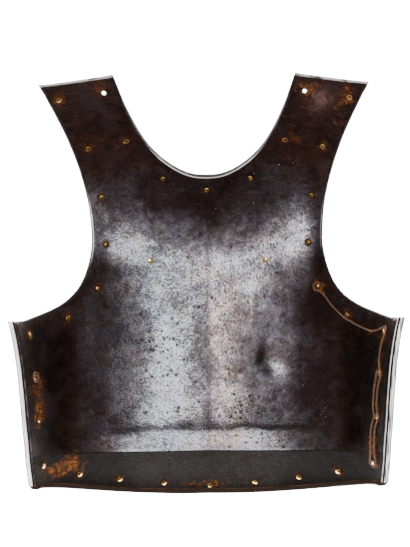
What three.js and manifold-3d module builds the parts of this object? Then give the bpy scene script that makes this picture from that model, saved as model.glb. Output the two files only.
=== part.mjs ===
// A cavalry front plate lying on its outer side, hollow up. Millimetres, +Z up, +Y towards the neck.
// The inner face is a height field over the plan, drawn from cross sections along the ridge.
import * as THREE from "three";
import { mergeVertices } from "three/addons/utils/BufferGeometryUtils.js";
import Module from "manifold-3d";

const wasm = await Module();
wasm.setup();

// ---- driving dimensions -------------------------------------------------------------------------
const COLUMNS = 12; // from the ridge, or the neck, out to the side
const PLATE_AT_RIDGE = 5.2; // thickness where a blow was expected
const PLATE_AT_EDGE = 2.6;
const WALL_LEAN_DEG = 15; // side wall from the upright, at its top
const SECTION_FLAT = 0.5; // how far the first handle of a section reaches
const SECTION_STEEP = 0.52; // how far down the wall the second handle reaches
const GAP = 0.3; // between pieces that touch

const RIVET_SHANK = 2.0;
const RIVET_HEAD = 4.6;
const RIVET_HEAD_TALL = 3.0;
const RIVET_PEEN = 3.1;
const RIVET_PEEN_TALL = 1.4;
const RIVET_SIDES = 8;
const HOLE = RIVET_SHANK + GAP + 0.05;

const STUD_TALL = 17.0; // from the outer face to the top of the button
const STUD_BUTTON = 9.0;
const STUD_BUTTON_TALL = 5.5;
const STUD_NECK = 3.3;
const STUD_FOOT = 6.5;
const STUD_FOOT_TALL = 2.0;
const STUD_SIDES = 12;

const WIRE = 0.75; // radius of one strand
const WIRE_SIDES = 4;
const WIRE_LIFT = WIRE + GAP + 0.5;

// ---- sections along the ridge -------------------------------------------------------------------
// along: place on the ridge; ridge: height there; keel: slope beside the ridge;
// half: half width at the top of the wall; wall: height there; bow: how far the wall end leads.
const BODY = [
  { along: -184.6, ridge: 57.0, keel: 0.18, half: 171.4, wall: 126.5, bow: 6.0 },
  { along: -176.0, ridge: 45.3, keel: 0.17, half: 171.8, wall: 127.5, bow: 5.0 },
  { along: -165.0, ridge: 33.2, keel: 0.16, half: 172.4, wall: 128.5, bow: 3.0 },
  { along: -150.0, ridge: 21.5, keel: 0.15, half: 173.2, wall: 130.0, bow: 1.0 },
  { along: -130.0, ridge: 11.8, keel: 0.14, half: 174.6, wall: 132.0, bow: 0.0 },
  { along: -105.0, ridge: 5.5, keel: 0.13, half: 176.6, wall: 134.5, bow: 0.0 },
  { along: -85.0, ridge: 4.6, keel: 0.125, half: 178.4, wall: 136.0, bow: 0.0 },
  { along: -70.0, ridge: 4.7, keel: 0.12, half: 180.6, wall: 137.0, bow: 0.0 },
  { along: -50.0, ridge: 5.2, keel: 0.11, half: 184.6, wall: 138.0, bow: 0.0 },
  { along: -25.0, ridge: 5.8, keel: 0.095, half: 185.6, wall: 139.0, bow: 0.0 },
  { along: 0.0, ridge: 7.4, keel: 0.075, half: 185.6, wall: 140.0, bow: 0.0 },
  { along: 25.0, ridge: 10.5, keel: 0.06, half: 185.6, wall: 141.5, bow: 0.0 },
  { along: 50.0, ridge: 16.8, keel: 0.05, half: 185.6, wall: 143.5, bow: 0.0 },
  { along: 75.0, ridge: 27.3, keel: 0.045, half: 185.6, wall: 146.0, bow: 0.0 },
  { along: 100.0, ridge: 41.2, keel: 0.04, half: 185.6, wall: 149.0, bow: 0.0 },
  { along: 125.0, ridge: 59.0, keel: 0.03, half: 185.6, wall: 153.0, bow: 0.0 },
  { along: 150.0, ridge: 81.0, keel: 0.02, half: 185.6, wall: 158.0, bow: 0.0 },
  { along: 175.0, ridge: 107.0, keel: 0.0, half: 185.6, wall: 164.0, bow: 0.0 },
  { along: 202.0, ridge: 138.0, keel: 0.0, half: 185.6, wall: 171.0, bow: 0.0 },
];
const WAIST = [
  { along: -228.0, ridge: 33.2, keel: 0.12, half: 169.6, wall: 118.0, bow: 22.5 },
  { along: -214.3, ridge: 40.8, keel: 0.14, half: 170.4, wall: 121.0, bow: 17.5 },
  { along: -200.0, ridge: 49.0, keel: 0.16, half: 171.0, wall: 124.0, bow: 12.0 },
  { along: -184.6, ridge: 57.0, keel: 0.18, half: 171.4, wall: 126.5, bow: 6.0 },
];
const CREASE = -184.6;

// ---- rows of the plate --------------------------------------------------------------------------
// x, y where a row starts (neck edge or ridge) and where it ends (armhole edge or side).
const NECK_ROW = 10; // the row at the bottom of the neck
const CORNER_ROW = 22; // the row that ends at the corner of armhole and side
const CREASE_ROW = 31; // the last row above the fold of the waist
const ROWS = [
  { fromX: 92.8, fromY: 195.0, toX: 158.4, toY: 185.4 },
  { fromX: 88.2, fromY: 181.5, toX: 152.4, toY: 174.0 },
  { fromX: 84.0, fromY: 169.5, toX: 146.6, toY: 162.0 },
  { fromX: 79.0, fromY: 158.4, toX: 141.3, toY: 150.5 },
  { fromX: 73.0, fromY: 146.8, toX: 135.5, toY: 136.6 },
  { fromX: 65.2, fromY: 134.6, toX: 130.4, toY: 122.0 },
  { fromX: 56.4, fromY: 124.2, toX: 126.1, toY: 107.5 },
  { fromX: 44.8, fromY: 114.2, toX: 122.7, toY: 93.5 },
  { fromX: 30.3, fromY: 105.4, toX: 120.2, toY: 81.0 },
  { fromX: 15.0, fromY: 100.0, toX: 118.7, toY: 70.0 },
  { fromX: 0.0, fromY: 98.8, toX: 117.8, toY: 59.0 },
  { fromX: 0.0, fromY: 78.0, toX: 117.1, toY: 44.0 },
  { fromX: 0.0, fromY: 57.0, toX: 117.4, toY: 30.0 },
  { fromX: 0.0, fromY: 37.0, toX: 119.4, toY: 17.0 },
  { fromX: 0.0, fromY: 18.0, toX: 122.5, toY: 5.0 },
  { fromX: 0.0, fromY: 0.0, toX: 126.9, toY: -6.9 },
  { fromX: 0.0, fromY: -16.0, toX: 133.2, toY: -18.0 },
  { fromX: 0.0, fromY: -30.0, toX: 142.4, toY: -28.1 },
  { fromX: 0.0, fromY: -41.0, toX: 153.2, toY: -35.7 },
  { fromX: 0.0, fromY: -50.0, toX: 164.4, toY: -41.1 },
  { fromX: 0.0, fromY: -57.0, toX: 173.3, toY: -44.9 },
  { fromX: 0.0, fromY: -62.0, toX: 179.8, toY: -47.4 },
  { fromX: 0.0, fromY: -67.0, toX: 184.6, toY: -49.1 },
  { fromX: 0.0, fromY: -78.0, toX: 180.8, toY: -67.0 },
  { fromX: 0.0, fromY: -93.0, toX: 178.0, toY: -87.0 },
  { fromX: 0.0, fromY: -109.0, toX: 176.2, toY: -107.0 },
  { fromX: 0.0, fromY: -125.0, toX: 174.9, toY: -125.0 },
  { fromX: 0.0, fromY: -140.0, toX: 173.9, toY: -141.0 },
  { fromX: 0.0, fromY: -154.0, toX: 173.1, toY: -153.5 },
  { fromX: 0.0, fromY: -166.0, toX: 172.3, toY: -163.5 },
  { fromX: 0.0, fromY: -176.0, toX: 171.8, toY: -171.8 },
  { fromX: 0.0, fromY: -184.6, toX: 171.4, toY: -179.4 },
  { fromX: 0.0, fromY: -200.0, toX: 171.0, toY: -189.3 },
  { fromX: 0.0, fromY: -214.3, toX: 170.4, toY: -198.6 },
  { fromX: 0.0, fromY: -228.0, toX: 169.8, toY: -207.6 },
];

// ---- turned edges, as steps off the last row or column: on (along the plate), away (outward) ------
const NECK_RIM = [
  { on: 1.5, away: 0.35 },
  { on: 2.75, away: 1.35 },
  { on: 3.4, away: 2.8 },
  { on: 4.1, away: 6.2 },
];
const ARM_RIM = [
  { on: 1.15, away: 0.25 },
  { on: 2.05, away: 1.0 },
  { on: 2.55, away: 2.1 },
  { on: 2.85, away: 3.8 },
];
const SIDE_RIM = [
  { on: 2.6, away: 0.6 },
  { on: 4.4, away: 1.9 },
  { on: 5.9, away: 3.9 },
  { on: 6.4, away: 8.0 },
];
const BOTTOM_LIP = [
  { on: 0.6, away: 0.7 },
  { on: 3.6, away: 3.4 },
];

// ---- rivets: mirrored pairs and two on the ridge ------------------------------------------------
const RIVETS = [
  { name: "arm_end", x: 143.5, y: 173.0 },
  { name: "arm_side", x: 119.6, y: 128.6 },
  { name: "neck_side", x: 81.6, y: 136.7 },
  { name: "neck_low", x: 46.0, y: 100.0 },
  { name: "armhole_1", x: 109.4, y: 80.6 },
  { name: "armhole_2", x: 106.3, y: 32.0 },
  { name: "armhole_3", x: 115.6, y: -14.4 },
  { name: "armhole_4", x: 145.0, y: -44.4 },
  { name: "side_1", x: 176.8, y: -58.8 },
  { name: "side_2", x: 171.8, y: -101.2 },
  { name: "side_3", x: 169.0, y: -144.0 },
  { name: "side_4", x: 165.8, y: -190.2 },
  { name: "waist_1", x: 133.0, y: -203.6 },
  { name: "waist_2", x: 93.4, y: -212.2 },
  { name: "waist_3", x: 48.0, y: -219.2 },
];
const RIDGE_RIVETS = [
  { name: "rivet_neck_centre", x: 0, y: 89.0 },
  { name: "rivet_waist_centre", x: 0, y: -223.6 },
];
const EMPTY_HOLE = { x: 99.6, y: 180.3 };
const STRAP_STUD = { x: 61.6, y: 14.5 };

// ---- lining wire, right side only ---------------------------------------------------------------
// One wire runs down past the rivets and doubles back from the last. round: the rivet it bends
// round, from and to in degrees, where 0 looks to the neck and 90 to the ridge; x, y: a plan place.
const WIRE_PATH = [
  { round: "armhole_3", from: -60, to: 205 },
  { x: 123.4, y: -24.6 },
  { x: 129.8, y: -33.8 },
  { x: 136.6, y: -41.2 },
  { round: "armhole_4", from: 140, to: 185 },
  { x: 153.0, y: -53.6 },
  { x: 161.0, y: -57.6 },
  { x: 168.2, y: -59.6 },
  { round: "side_1", from: 345, to: 270 },
  { x: 174.6, y: -71.0 },
  { x: 172.8, y: -82.0 },
  { x: 172.2, y: -92.0 },
  { round: "side_2", from: 280, to: 260 },
  { x: 171.2, y: -112.0 },
  { x: 170.0, y: -124.0 },
  { x: 169.4, y: -135.0 },
  { round: "side_3", from: 280, to: 260 },
  { x: 167.8, y: -156.0 },
  { x: 167.0, y: -168.0 },
  { x: 166.6, y: -179.0 },
  { round: "side_4", from: 280, to: 80 },
  { x: 163.6, y: -178.0 },
  { x: 163.8, y: -168.0 },
  { x: 164.6, y: -156.0 },
  { round: "side_3", from: 100, to: 80 },
  { x: 166.6, y: -135.0 },
  { x: 167.2, y: -124.0 },
  { x: 168.4, y: -112.0 },
  { round: "side_2", from: 100, to: 20 },
];
const WIRE_BEND_DEG = 40; // the step round a rivet

// ---- the inner face -----------------------------------------------------------------------------
const slopeAt = (table, key, i) => {
  const a = table[Math.max(i - 1, 0)];
  const b = table[Math.min(i + 1, table.length - 1)];
  return (b[key] - a[key]) / (b.along - a.along);
};

// A section value at a place along the ridge, on a smooth curve through the table.
function along(table, key, v) {
  let i = 0;
  while (i < table.length - 2 && v > table[i + 1].along) i += 1;
  const a = table[i];
  const b = table[i + 1];
  const d = b.along - a.along;
  const t = Math.min(Math.max((v - a.along) / d, -0.3), 1.3);
  const ma = slopeAt(table, key, i) * d;
  const mb = slopeAt(table, key, i + 1) * d;
  const t2 = t * t;
  const t3 = t2 * t;
  return (
    (2 * t3 - 3 * t2 + 1) * a[key] +
    (t3 - 2 * t2 + t) * ma +
    (3 * t2 - 2 * t3) * b[key] +
    (t3 - t2) * mb
  );
}

const section = (v, lower = v < CREASE) => {
  const table = lower ? WAIST : BODY;
  const [ridge, keel, half, wall] = ["ridge", "keel", "half", "wall"].map((k) =>
    along(table, k, v),
  );
  const reach = SECTION_FLAT * half;
  const drop = SECTION_STEEP * (wall - ridge);
  const lean = Math.tan(THREE.MathUtils.degToRad(WALL_LEAN_DEG));
  return {
    x: [0, reach, half - lean * drop, half],
    z: [ridge, ridge + keel * reach, wall - drop, wall],
  };
};

const bezier = (c, p) => {
  const q = 1 - p;
  return q * q * q * c[0] + 3 * q * q * p * c[1] + 3 * q * p * p * c[2] + p * p * p * c[3];
};

// The place in a section, 0 at the ridge and 1 at the top of the wall, that lies over x.
function placeOver(sec, x) {
  let lo = 0;
  let hi = 1.08;
  for (let i = 0; i < 40; i += 1) {
    const mid = (lo + hi) / 2;
    if (bezier(sec.x, mid) < x) lo = mid;
    else hi = mid;
  }
  return (lo + hi) / 2;
}

// Where the section through a plan point crosses the ridge.
function ridgeOf(x, y) {
  let v = y;
  for (let i = 0; i < 12; i += 1) {
    const table = v < CREASE ? WAIST : BODY;
    v = y - along(table, "bow", v) * (x / along(table, "half", v)) ** 2;
  }
  return v;
}

function heightAt(x, y) {
  const sec = section(ridgeOf(Math.abs(x), y));
  return bezier(sec.z, placeOver(sec, Math.abs(x)));
}

// The inward normal of the inner face.
function normalAt(x, y) {
  const d = 0.4;
  const dx = (heightAt(x + d, y) - heightAt(x - d, y)) / (2 * d);
  const dy = (heightAt(x, y + d) - heightAt(x, y - d)) / (2 * d);
  return new THREE.Vector3(x === 0 ? 0 : -dx, -dy, 1).normalize();
}

const bump = (t) => {
  const c = Math.min(Math.max(t, 0), 1);
  return c * c * (3 - 2 * c);
};

function thicknessAt(x, y) {
  const across = bump((178 - Math.abs(x)) / 150);
  const up = bump((110 - y) / 110) * bump((y + 240) / 70);
  return PLATE_AT_EDGE + (PLATE_AT_RIDGE - PLATE_AT_EDGE) * across * up;
}

// ---- the plate ----------------------------------------------------------------------------------
// A plan row as points on the inner face, spaced by their place in the section.
function rowPoints(row, index) {
  const mid = section((row.fromY + row.toY) / 2, index > CREASE_ROW);
  const a = placeOver(mid, row.fromX);
  const b = placeOver(mid, row.toX);
  const xa = bezier(mid.x, a);
  const xb = bezier(mid.x, b);
  const bows = row.fromY <= CREASE;
  return Array.from({ length: COLUMNS + 1 }, (_, k) => {
    const s = (bezier(mid.x, a + ((b - a) * k) / COLUMNS) - xa) / (xb - xa);
    const x = row.fromX + (row.toX - row.fromX) * s;
    const y = row.fromY + (row.toY - row.fromY) * (bows ? s * s : s);
    if (!bows) return new THREE.Vector3(x, y, heightAt(x, y));
    const sec = section(row.fromY, index > CREASE_ROW);
    return new THREE.Vector3(x, y, bezier(sec.z, placeOver(sec, x)));
  });
}

// The direction in the plate that leaves an edge, from the edge's run and the plate's normal.
const leaving = (run, normal) => new THREE.Vector3().crossVectors(normal, run).normalize();

// Mitres the two directions that leave a corner.
function mitre(a, b) {
  const sum = a.clone().add(b);
  return sum.multiplyScalar(1 / (1 + a.dot(b)));
}

// The neck's rim grows from nothing much at the arm end to its full height.
const NECK_RIM_GROWS = [0.25, 0.5, 0.75, 0.95];

function rimColumns(edge, normals, rims, mirrorEnd) {
  return edge.map((point, j) => {
    const before = edge[Math.max(j - 1, 0)];
    const after = edge[Math.min(j + 1, edge.length - 1)];
    const n = normals[j];
    let out;
    if (j === 0) out = leaving(after.clone().sub(point), n);
    else if (j === edge.length - 1) {
      out = mirrorEnd
        ? new THREE.Vector3(0, n.z, -n.y).normalize()
        : leaving(point.clone().sub(before), n);
    } else {
      const a = leaving(point.clone().sub(before), n);
      out = mitre(a, leaving(after.clone().sub(point), n));
    }
    return rims[j].map(({ on, away }) =>
      point.clone().addScaledVector(out, on).addScaledVector(n, -away),
    );
  });
}

// The half of the inner face at x >= 0: rows of points, rims included, arm end first.
function innerHalf() {
  const rows = ROWS.map(rowPoints);
  const normals = rows.map((row) =>
    row.map((p, k) => {
      // Beside the crease the normal is taken on the row's own side of it.
      const n = normalAt(p.x, p.y);
      return k === 0 && p.x < 1e-6 ? n.setX(0).normalize() : n;
    }),
  );
  const outerEdge = rows.map((row) => row[COLUMNS]);
  const outerNormals = normals.map((row) => row[COLUMNS]);
  const outerRims = rows.map((_, j) => (j < CORNER_ROW ? ARM_RIM : SIDE_RIM));
  const outer = rimColumns(outerEdge, outerNormals, outerRims, false);

  const neckEdge = rows.slice(0, NECK_ROW + 1).map((row) => row[0]);
  const neckNormals = normals.slice(0, NECK_ROW + 1).map((row) => row[0]);
  // The neck edge runs the other way round the plate, so its steps leave to the other side.
  const flipped = rimColumns(
    neckEdge.map((p) => p.clone().setX(-p.x)),
    neckNormals.map((n) => n.clone().setX(-n.x)),
    neckEdge.map((_, j) => {
      const grown = NECK_RIM_GROWS[j] ?? 1;
      return NECK_RIM.map(({ on, away }) => ({ on, away: away * grown }));
    }),
    true,
  );
  const neck = flipped.map((r) => r.map((p) => p.setX(-p.x)));

  const grid = rows.map((row, j) => {
    const left = j <= NECK_ROW ? [...neck[j]].reverse() : NECK_RIM.map(() => null);
    return [...left, ...row, ...outer[j]];
  });
  // The lip leaves the last row; the side rim takes the step of the plate's last column.
  const last = grid[grid.length - 1];
  const before = grid[grid.length - 2];
  const first = NECK_RIM.length;
  const corner = first + COLUMNS;
  const steps = last.map((p, k) => {
    if (!p) return null;
    const at = Math.min(k, corner);
    const run = last[Math.min(at + 1, corner)].clone().sub(last[Math.max(at - 1, first)]);
    const out = last[at].clone().sub(before[at]).normalize();
    const up = new THREE.Vector3().crossVectors(run, out).normalize();
    if (up.z < 0) up.negate();
    if (p.x < 1e-6) {
      up.setX(0).normalize();
      out.setX(0).normalize();
    }
    return { out, up };
  });
  BOTTOM_LIP.forEach(({ on, away }) => {
    grid.push(
      last.map((p, k) =>
        p && p.clone().addScaledVector(steps[k].out, on).addScaledVector(steps[k].up, away),
      ),
    );
  });
  return grid;
}

// Vertex normals of a grid of points, null where the grid has none.
function gridNormals(grid) {
  const sums = grid.map((row) => row.map((p) => (p ? new THREE.Vector3() : null)));
  for (let j = 0; j + 1 < grid.length; j += 1)
    for (let k = 0; k + 1 < grid[j].length; k += 1) {
      const [a, b, c, d] = [grid[j][k], grid[j][k + 1], grid[j + 1][k + 1], grid[j + 1][k]];
      if (!a || !b || !c || !d) continue;
      const n = new THREE.Vector3()
        .crossVectors(c.clone().sub(a), b.clone().sub(d))
        .normalize();
      [sums[j][k], sums[j][k + 1], sums[j + 1][k + 1], sums[j + 1][k]].forEach((s) => s.add(n));
    }
  return sums.map((row, j) =>
    row.map((s, k) => {
      if (!s) return null;
      if (grid[j][k].x < 1e-6) s.setX(0);
      return s.normalize();
    }),
  );
}

function plateSolid() {
  const inner = innerHalf();
  const normals = gridNormals(inner);
  const outer = inner.map((row, j) =>
    row.map((p, k) =>
      p ? p.clone().addScaledVector(normals[j][k], -thicknessAt(p.x, p.y)) : null,
    ),
  );
  const faces = [];
  const quad = (a, b, c, d) => {
    if (a && b && c && d) faces.push([a, b, c], [a, c, d]);
  };
  const wall = (i0, i1, o0, o1) => quad(i0, i1, o1, o0);
  const last = inner.length - 1;
  const end = inner[0].length - 1;
  for (let j = 0; j < last; j += 1)
    for (let k = 0; k < end; k += 1) {
      quad(inner[j][k], inner[j + 1][k], inner[j + 1][k + 1], inner[j][k + 1]);
      quad(outer[j][k], outer[j][k + 1], outer[j + 1][k + 1], outer[j + 1][k]);
    }
  for (let k = 0; k < end; k += 1) {
    wall(inner[0][k], inner[0][k + 1], outer[0][k], outer[0][k + 1]);
    wall(inner[last][k + 1], inner[last][k], outer[last][k + 1], outer[last][k]);
  }
  for (let j = 0; j < last; j += 1)
    wall(inner[j][end], inner[j + 1][end], outer[j][end], outer[j + 1][end]);
  for (let j = 0; j < NECK_ROW; j += 1)
    wall(inner[j + 1][0], inner[j][0], outer[j + 1][0], outer[j][0]);
  const position = [];
  faces.forEach(([a, b, c]) => {
    position.push(...a, ...b, ...c);
    [a, c, b].forEach((p) => position.push(-p.x, p.y, p.z));
  });
  return solidFrom(position);
}

// ---- solids -------------------------------------------------------------------------------------
function solidFrom(position) {
  const g = new THREE.BufferGeometry();
  g.setAttribute("position", new THREE.Float32BufferAttribute(position, 3));
  const merged = mergeVertices(g, 1e-3);
  return new wasm.Manifold(
    new wasm.Mesh({
      numProp: 3,
      vertProperties: merged.attributes.position.array,
      triVerts: new Uint32Array(merged.index.array),
    }),
  );
}

function solidOf(geometry, matrix) {
  const flat = geometry.index ? geometry.toNonIndexed() : geometry;
  flat.applyMatrix4(matrix ?? new THREE.Matrix4());
  return solidFrom([...flat.attributes.position.array]);
}

function meshOf(solid, name) {
  const { numProp, vertProperties, triVerts } = solid.getMesh();
  const g = new THREE.BufferGeometry();
  const data = new Float32Array((vertProperties.length / numProp) * 3);
  for (let i = 0; i * numProp < vertProperties.length; i += 1)
    data.set(vertProperties.subarray(i * numProp, i * numProp + 3), i * 3);
  g.setAttribute("position", new THREE.BufferAttribute(data, 3));
  g.setIndex(new THREE.BufferAttribute(new Uint32Array(triVerts), 1));
  const mesh = new THREE.Mesh(g, new THREE.MeshStandardMaterial());
  mesh.name = name;
  return mesh;
}

// Carries a lathed piece, whose axis is Y, onto the plate: Y runs inward along the normal.
function seat(x, y) {
  const n = normalAt(x, y);
  const turn = new THREE.Quaternion().setFromUnitVectors(new THREE.Vector3(0, 1, 0), n);
  const at = new THREE.Vector3(x, y, heightAt(x, y));
  return new THREE.Matrix4().compose(at, turn, new THREE.Vector3(1, 1, 1));
}

function turned(profile, sides, matrix) {
  const points = profile.map(([r, h]) => new THREE.Vector2(r, h));
  return solidOf(new THREE.LatheGeometry(points, sides), matrix);
}

// How high the plate's two faces come, along a piece's axis, within a radius of it.
function facesWithin(plate, x, y, radius) {
  const m = seat(x, y);
  const core = [
    [0, -12],
    [radius, -12],
    [radius, 6],
    [0, 6],
  ];
  const cut = plate.intersect(turned(core, RIVET_SIDES, m)).transform(m.invert().elements);
  const { min, max } = cut.boundingBox();
  return { low: min[1], high: max[1] };
}

function rivetSolid(plate, x, y) {
  const under = facesWithin(plate, x, y, RIVET_HEAD).low - GAP;
  const top = facesWithin(plate, x, y, RIVET_PEEN).high + GAP;
  return turned(
    [
      [0, under - RIVET_HEAD_TALL],
      [RIVET_HEAD * 0.66, under - RIVET_HEAD_TALL * 0.72],
      [RIVET_HEAD, under],
      [RIVET_SHANK, under],
      [RIVET_SHANK, top],
      [RIVET_PEEN, top],
      [0, top + RIVET_PEEN_TALL],
    ],
    RIVET_SIDES,
    seat(x, y),
  );
}

function studSolid(plate, x, y) {
  const face = facesWithin(plate, x, y, STUD_FOOT).low - GAP;
  const tip = face - STUD_TALL;
  const under = tip + STUD_BUTTON_TALL;
  const top = facesWithin(plate, x, y, RIVET_PEEN).high + GAP;
  return turned(
    [
      [0, tip],
      [STUD_BUTTON * 0.55, tip + 0.7],
      [STUD_BUTTON * 0.88, tip + 2.3],
      [STUD_BUTTON, under - 0.8],
      [STUD_BUTTON, under],
      [STUD_NECK, under],
      [STUD_NECK, face - STUD_FOOT_TALL],
      [STUD_FOOT, face - STUD_FOOT_TALL * 0.7],
      [STUD_FOOT, face],
      [RIVET_SHANK, face],
      [RIVET_SHANK, top],
      [RIVET_PEEN, top],
      [RIVET_PEEN * 0.6, top + RIVET_PEEN_TALL * 0.8],
      [0, top + RIVET_PEEN_TALL],
    ],
    STUD_SIDES,
    seat(x, y),
  );
}

function holeSolid(x, y, sides) {
  const points = [
    [0, -12],
    [HOLE, -12],
    [HOLE, 4],
    [0, 4],
  ];
  return turned(points, sides, seat(x, y));
}

// ---- wire ---------------------------------------------------------------------------------------
const overPlate = (x, y, lift) =>
  new THREE.Vector3(x, y, heightAt(x, y)).addScaledVector(normalAt(x, y), lift);

// A closed tube through points, or a ring where the points close on themselves.
function tube(points, radius, closed = false) {
  const rings = points.map((p, i) => {
    const n = points.length;
    const a = closed ? points[(i + n - 1) % n] : points[Math.max(i - 1, 0)];
    const b = closed ? points[(i + 1) % n] : points[Math.min(i + 1, n - 1)];
    const run = b.clone().sub(a).normalize();
    const up = new THREE.Vector3(0.3, 0.1, 1).cross(run).normalize();
    const side = new THREE.Vector3().crossVectors(run, up);
    return Array.from({ length: WIRE_SIDES }, (_, k) => {
      const t = (k / WIRE_SIDES) * Math.PI * 2;
      return p
        .clone()
        .addScaledVector(up, Math.cos(t) * radius)
        .addScaledVector(side, Math.sin(t) * radius);
    });
  });
  const position = [];
  const tri = (a, b, c) => position.push(...a, ...b, ...c);
  const count = closed ? rings.length : rings.length - 1;
  for (let i = 0; i < count; i += 1)
    for (let k = 0; k < WIRE_SIDES; k += 1) {
      const [p, q] = [rings[i], rings[(i + 1) % rings.length]];
      const m = (k + 1) % WIRE_SIDES;
      tri(p[k], p[m], q[m]);
      tri(p[k], q[m], q[k]);
    }
  if (!closed)
    for (let k = 1; k + 1 < WIRE_SIDES; k += 1) {
      const [p, q] = [rings[0], rings[rings.length - 1]];
      tri(p[0], p[k + 1], p[k]);
      tri(q[0], q[k], q[k + 1]);
    }
  const made = solidFrom(position);
  return made.volume() < 0 ? solidFrom(flipped(position)) : made;
}

function flipped(position) {
  const out = [];
  for (let i = 0; i < position.length; i += 9)
    out.push(
      ...position.slice(i, i + 3),
      ...position.slice(i + 6, i + 9),
      ...position.slice(i + 3, i + 6),
    );
  return out;
}

const RING = RIVET_PEEN + GAP + WIRE + 0.15;
const spot = (name) => RIVETS.find((r) => r.name === name);

// A point beside a rivet's inner end: 0 degrees looks to the neck, 90 to the ridge.
function beside(x, y, degrees, radius) {
  const n = normalAt(x, y);
  const neck = new THREE.Vector3(0, 1, 0).addScaledVector(n, -n.y).normalize();
  const ridge = new THREE.Vector3().crossVectors(n, neck).multiplyScalar(x < 0 ? -1 : 1);
  const t = THREE.MathUtils.degToRad(degrees);
  return overPlate(x, y, WIRE_LIFT + 0.1)
    .addScaledVector(neck, Math.cos(t) * radius)
    .addScaledVector(ridge, Math.sin(t) * radius);
}

function liningWire() {
  const points = WIRE_PATH.flatMap(({ round, from, to, x, y }) => {
    if (!round) return [overPlate(x, y, WIRE_LIFT)];
    const steps = Math.max(1, Math.round(Math.abs(to - from) / WIRE_BEND_DEG));
    const at = spot(round);
    return Array.from({ length: steps + 1 }, (_, i) =>
      beside(at.x, at.y, from + ((to - from) * i) / steps, RING),
    );
  });
  return tube(points, WIRE);
}

function wireLoop(x, y, radius) {
  const count = 10;
  const points = Array.from({ length: count }, (_, i) => beside(x, y, (i * 360) / count, radius));
  return tube(points, WIRE, true);
}

// ---- the part -----------------------------------------------------------------------------------
const group = new THREE.Group();
const pairs = [...RIVETS, EMPTY_HOLE, STRAP_STUD].flatMap(({ x, y }) => [
  [x, y],
  [-x, y],
]);
const centres = RIDGE_RIVETS.map(({ x, y }) => [x, y]);
const holes = [...pairs, ...centres].map(([x, y]) => holeSolid(x, y, RIVET_SIDES));
const whole = plateSolid();
const add = (solid, name) => group.add(meshOf(solid, name));
add(whole.subtract(wasm.Manifold.union(holes)), "breastplate");
RIVETS.forEach(({ name, x, y }) => {
  add(rivetSolid(whole, x, y), `rivet_${name}_right`);
  add(rivetSolid(whole, -x, y), `rivet_${name}_left`);
});
RIDGE_RIVETS.forEach(({ name, x, y }) => add(rivetSolid(whole, x, y), name));
add(studSolid(whole, STRAP_STUD.x, STRAP_STUD.y), "strap_stud_right");
add(studSolid(whole, -STRAP_STUD.x, STRAP_STUD.y), "strap_stud_left");
add(liningWire(), "lining_wire");
add(wireLoop(-spot("side_2").x, spot("side_2").y, RING + 0.9), "wire_loop");

// The row's origin is under the middle of the whole.
const box = new THREE.Box3().setFromObject(group);
const middle = box.getCenter(new THREE.Vector3());
group.children.forEach((mesh) => mesh.geometry.translate(-middle.x, -middle.y, -box.min.z));

export default group;
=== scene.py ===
"""The looks of a cavalry front plate that lies on its outer side, hollow up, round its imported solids.

Sizes are in millimetres in the plate's own frame: x across, y along the ridge towards the neck, z up.
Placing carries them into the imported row's frame, in metres.
"""

import logging
import math
from dataclasses import dataclass, field
from enum import Enum
from typing import Iterable, Optional, Sequence

import bpy
import numpy as np
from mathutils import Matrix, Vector


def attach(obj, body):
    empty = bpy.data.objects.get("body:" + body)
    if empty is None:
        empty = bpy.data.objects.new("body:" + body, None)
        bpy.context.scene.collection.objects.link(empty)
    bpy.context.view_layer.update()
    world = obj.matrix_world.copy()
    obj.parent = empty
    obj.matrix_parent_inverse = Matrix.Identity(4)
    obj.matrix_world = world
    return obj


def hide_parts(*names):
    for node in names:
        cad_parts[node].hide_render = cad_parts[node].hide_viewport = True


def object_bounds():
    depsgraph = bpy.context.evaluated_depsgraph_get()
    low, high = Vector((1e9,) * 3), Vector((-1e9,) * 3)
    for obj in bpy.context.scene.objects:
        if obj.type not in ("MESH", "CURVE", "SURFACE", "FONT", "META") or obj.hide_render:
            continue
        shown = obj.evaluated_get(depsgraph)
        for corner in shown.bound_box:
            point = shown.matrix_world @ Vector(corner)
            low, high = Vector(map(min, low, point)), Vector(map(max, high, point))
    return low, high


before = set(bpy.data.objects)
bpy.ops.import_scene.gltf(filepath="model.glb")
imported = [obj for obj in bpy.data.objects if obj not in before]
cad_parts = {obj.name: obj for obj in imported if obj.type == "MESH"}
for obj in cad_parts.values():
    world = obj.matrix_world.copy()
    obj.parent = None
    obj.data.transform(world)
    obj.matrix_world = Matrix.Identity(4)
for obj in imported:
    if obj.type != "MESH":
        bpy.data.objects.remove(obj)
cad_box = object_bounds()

log = logging.getLogger("cuirass")

Array = np.ndarray
Piece = bpy.types.Object
Material = bpy.types.Material
Tree = bpy.types.NodeTree
Node = bpy.types.Node
Socket = bpy.types.NodeSocket
Mesh = tuple[Array, list]  # points and faces

MM = 0.001
TINY = 1e-9  # for comparing rows
ON_RIDGE = 1e-6  # a point nearer the ridge than this lies on it
ASKEW = (0.31, 0.17, 1.0)  # a direction that no wire runs along


class Side(Enum):
    """A side of the plate, as the sign of x there."""

    RIGHT = 1
    LEFT = -1

    def node(self, name: str) -> str:
        """The name of a mirrored piece on this side."""
        return f"{name}_{self.name.lower()}"


# ---- the plate's form ---------------------------------------------------------------------------
CREASE = -184.6  # place on the ridge where the waist folds out
NECK_ROW = 10
CORNER_ROW = 22
CREASE_ROW = 31


@dataclass(frozen=True)
class Station:
    """One cross section of the plate, by its place along the ridge."""

    along: float
    ridge: float
    keel: float
    half: float
    wall: float
    bow: float = 0.0


@dataclass(frozen=True)
class Row:
    """One row of the plate in plan: where it starts, at the neck or ridge, and where it ends."""

    from_x: float
    from_y: float
    to_x: float
    to_y: float


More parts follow.
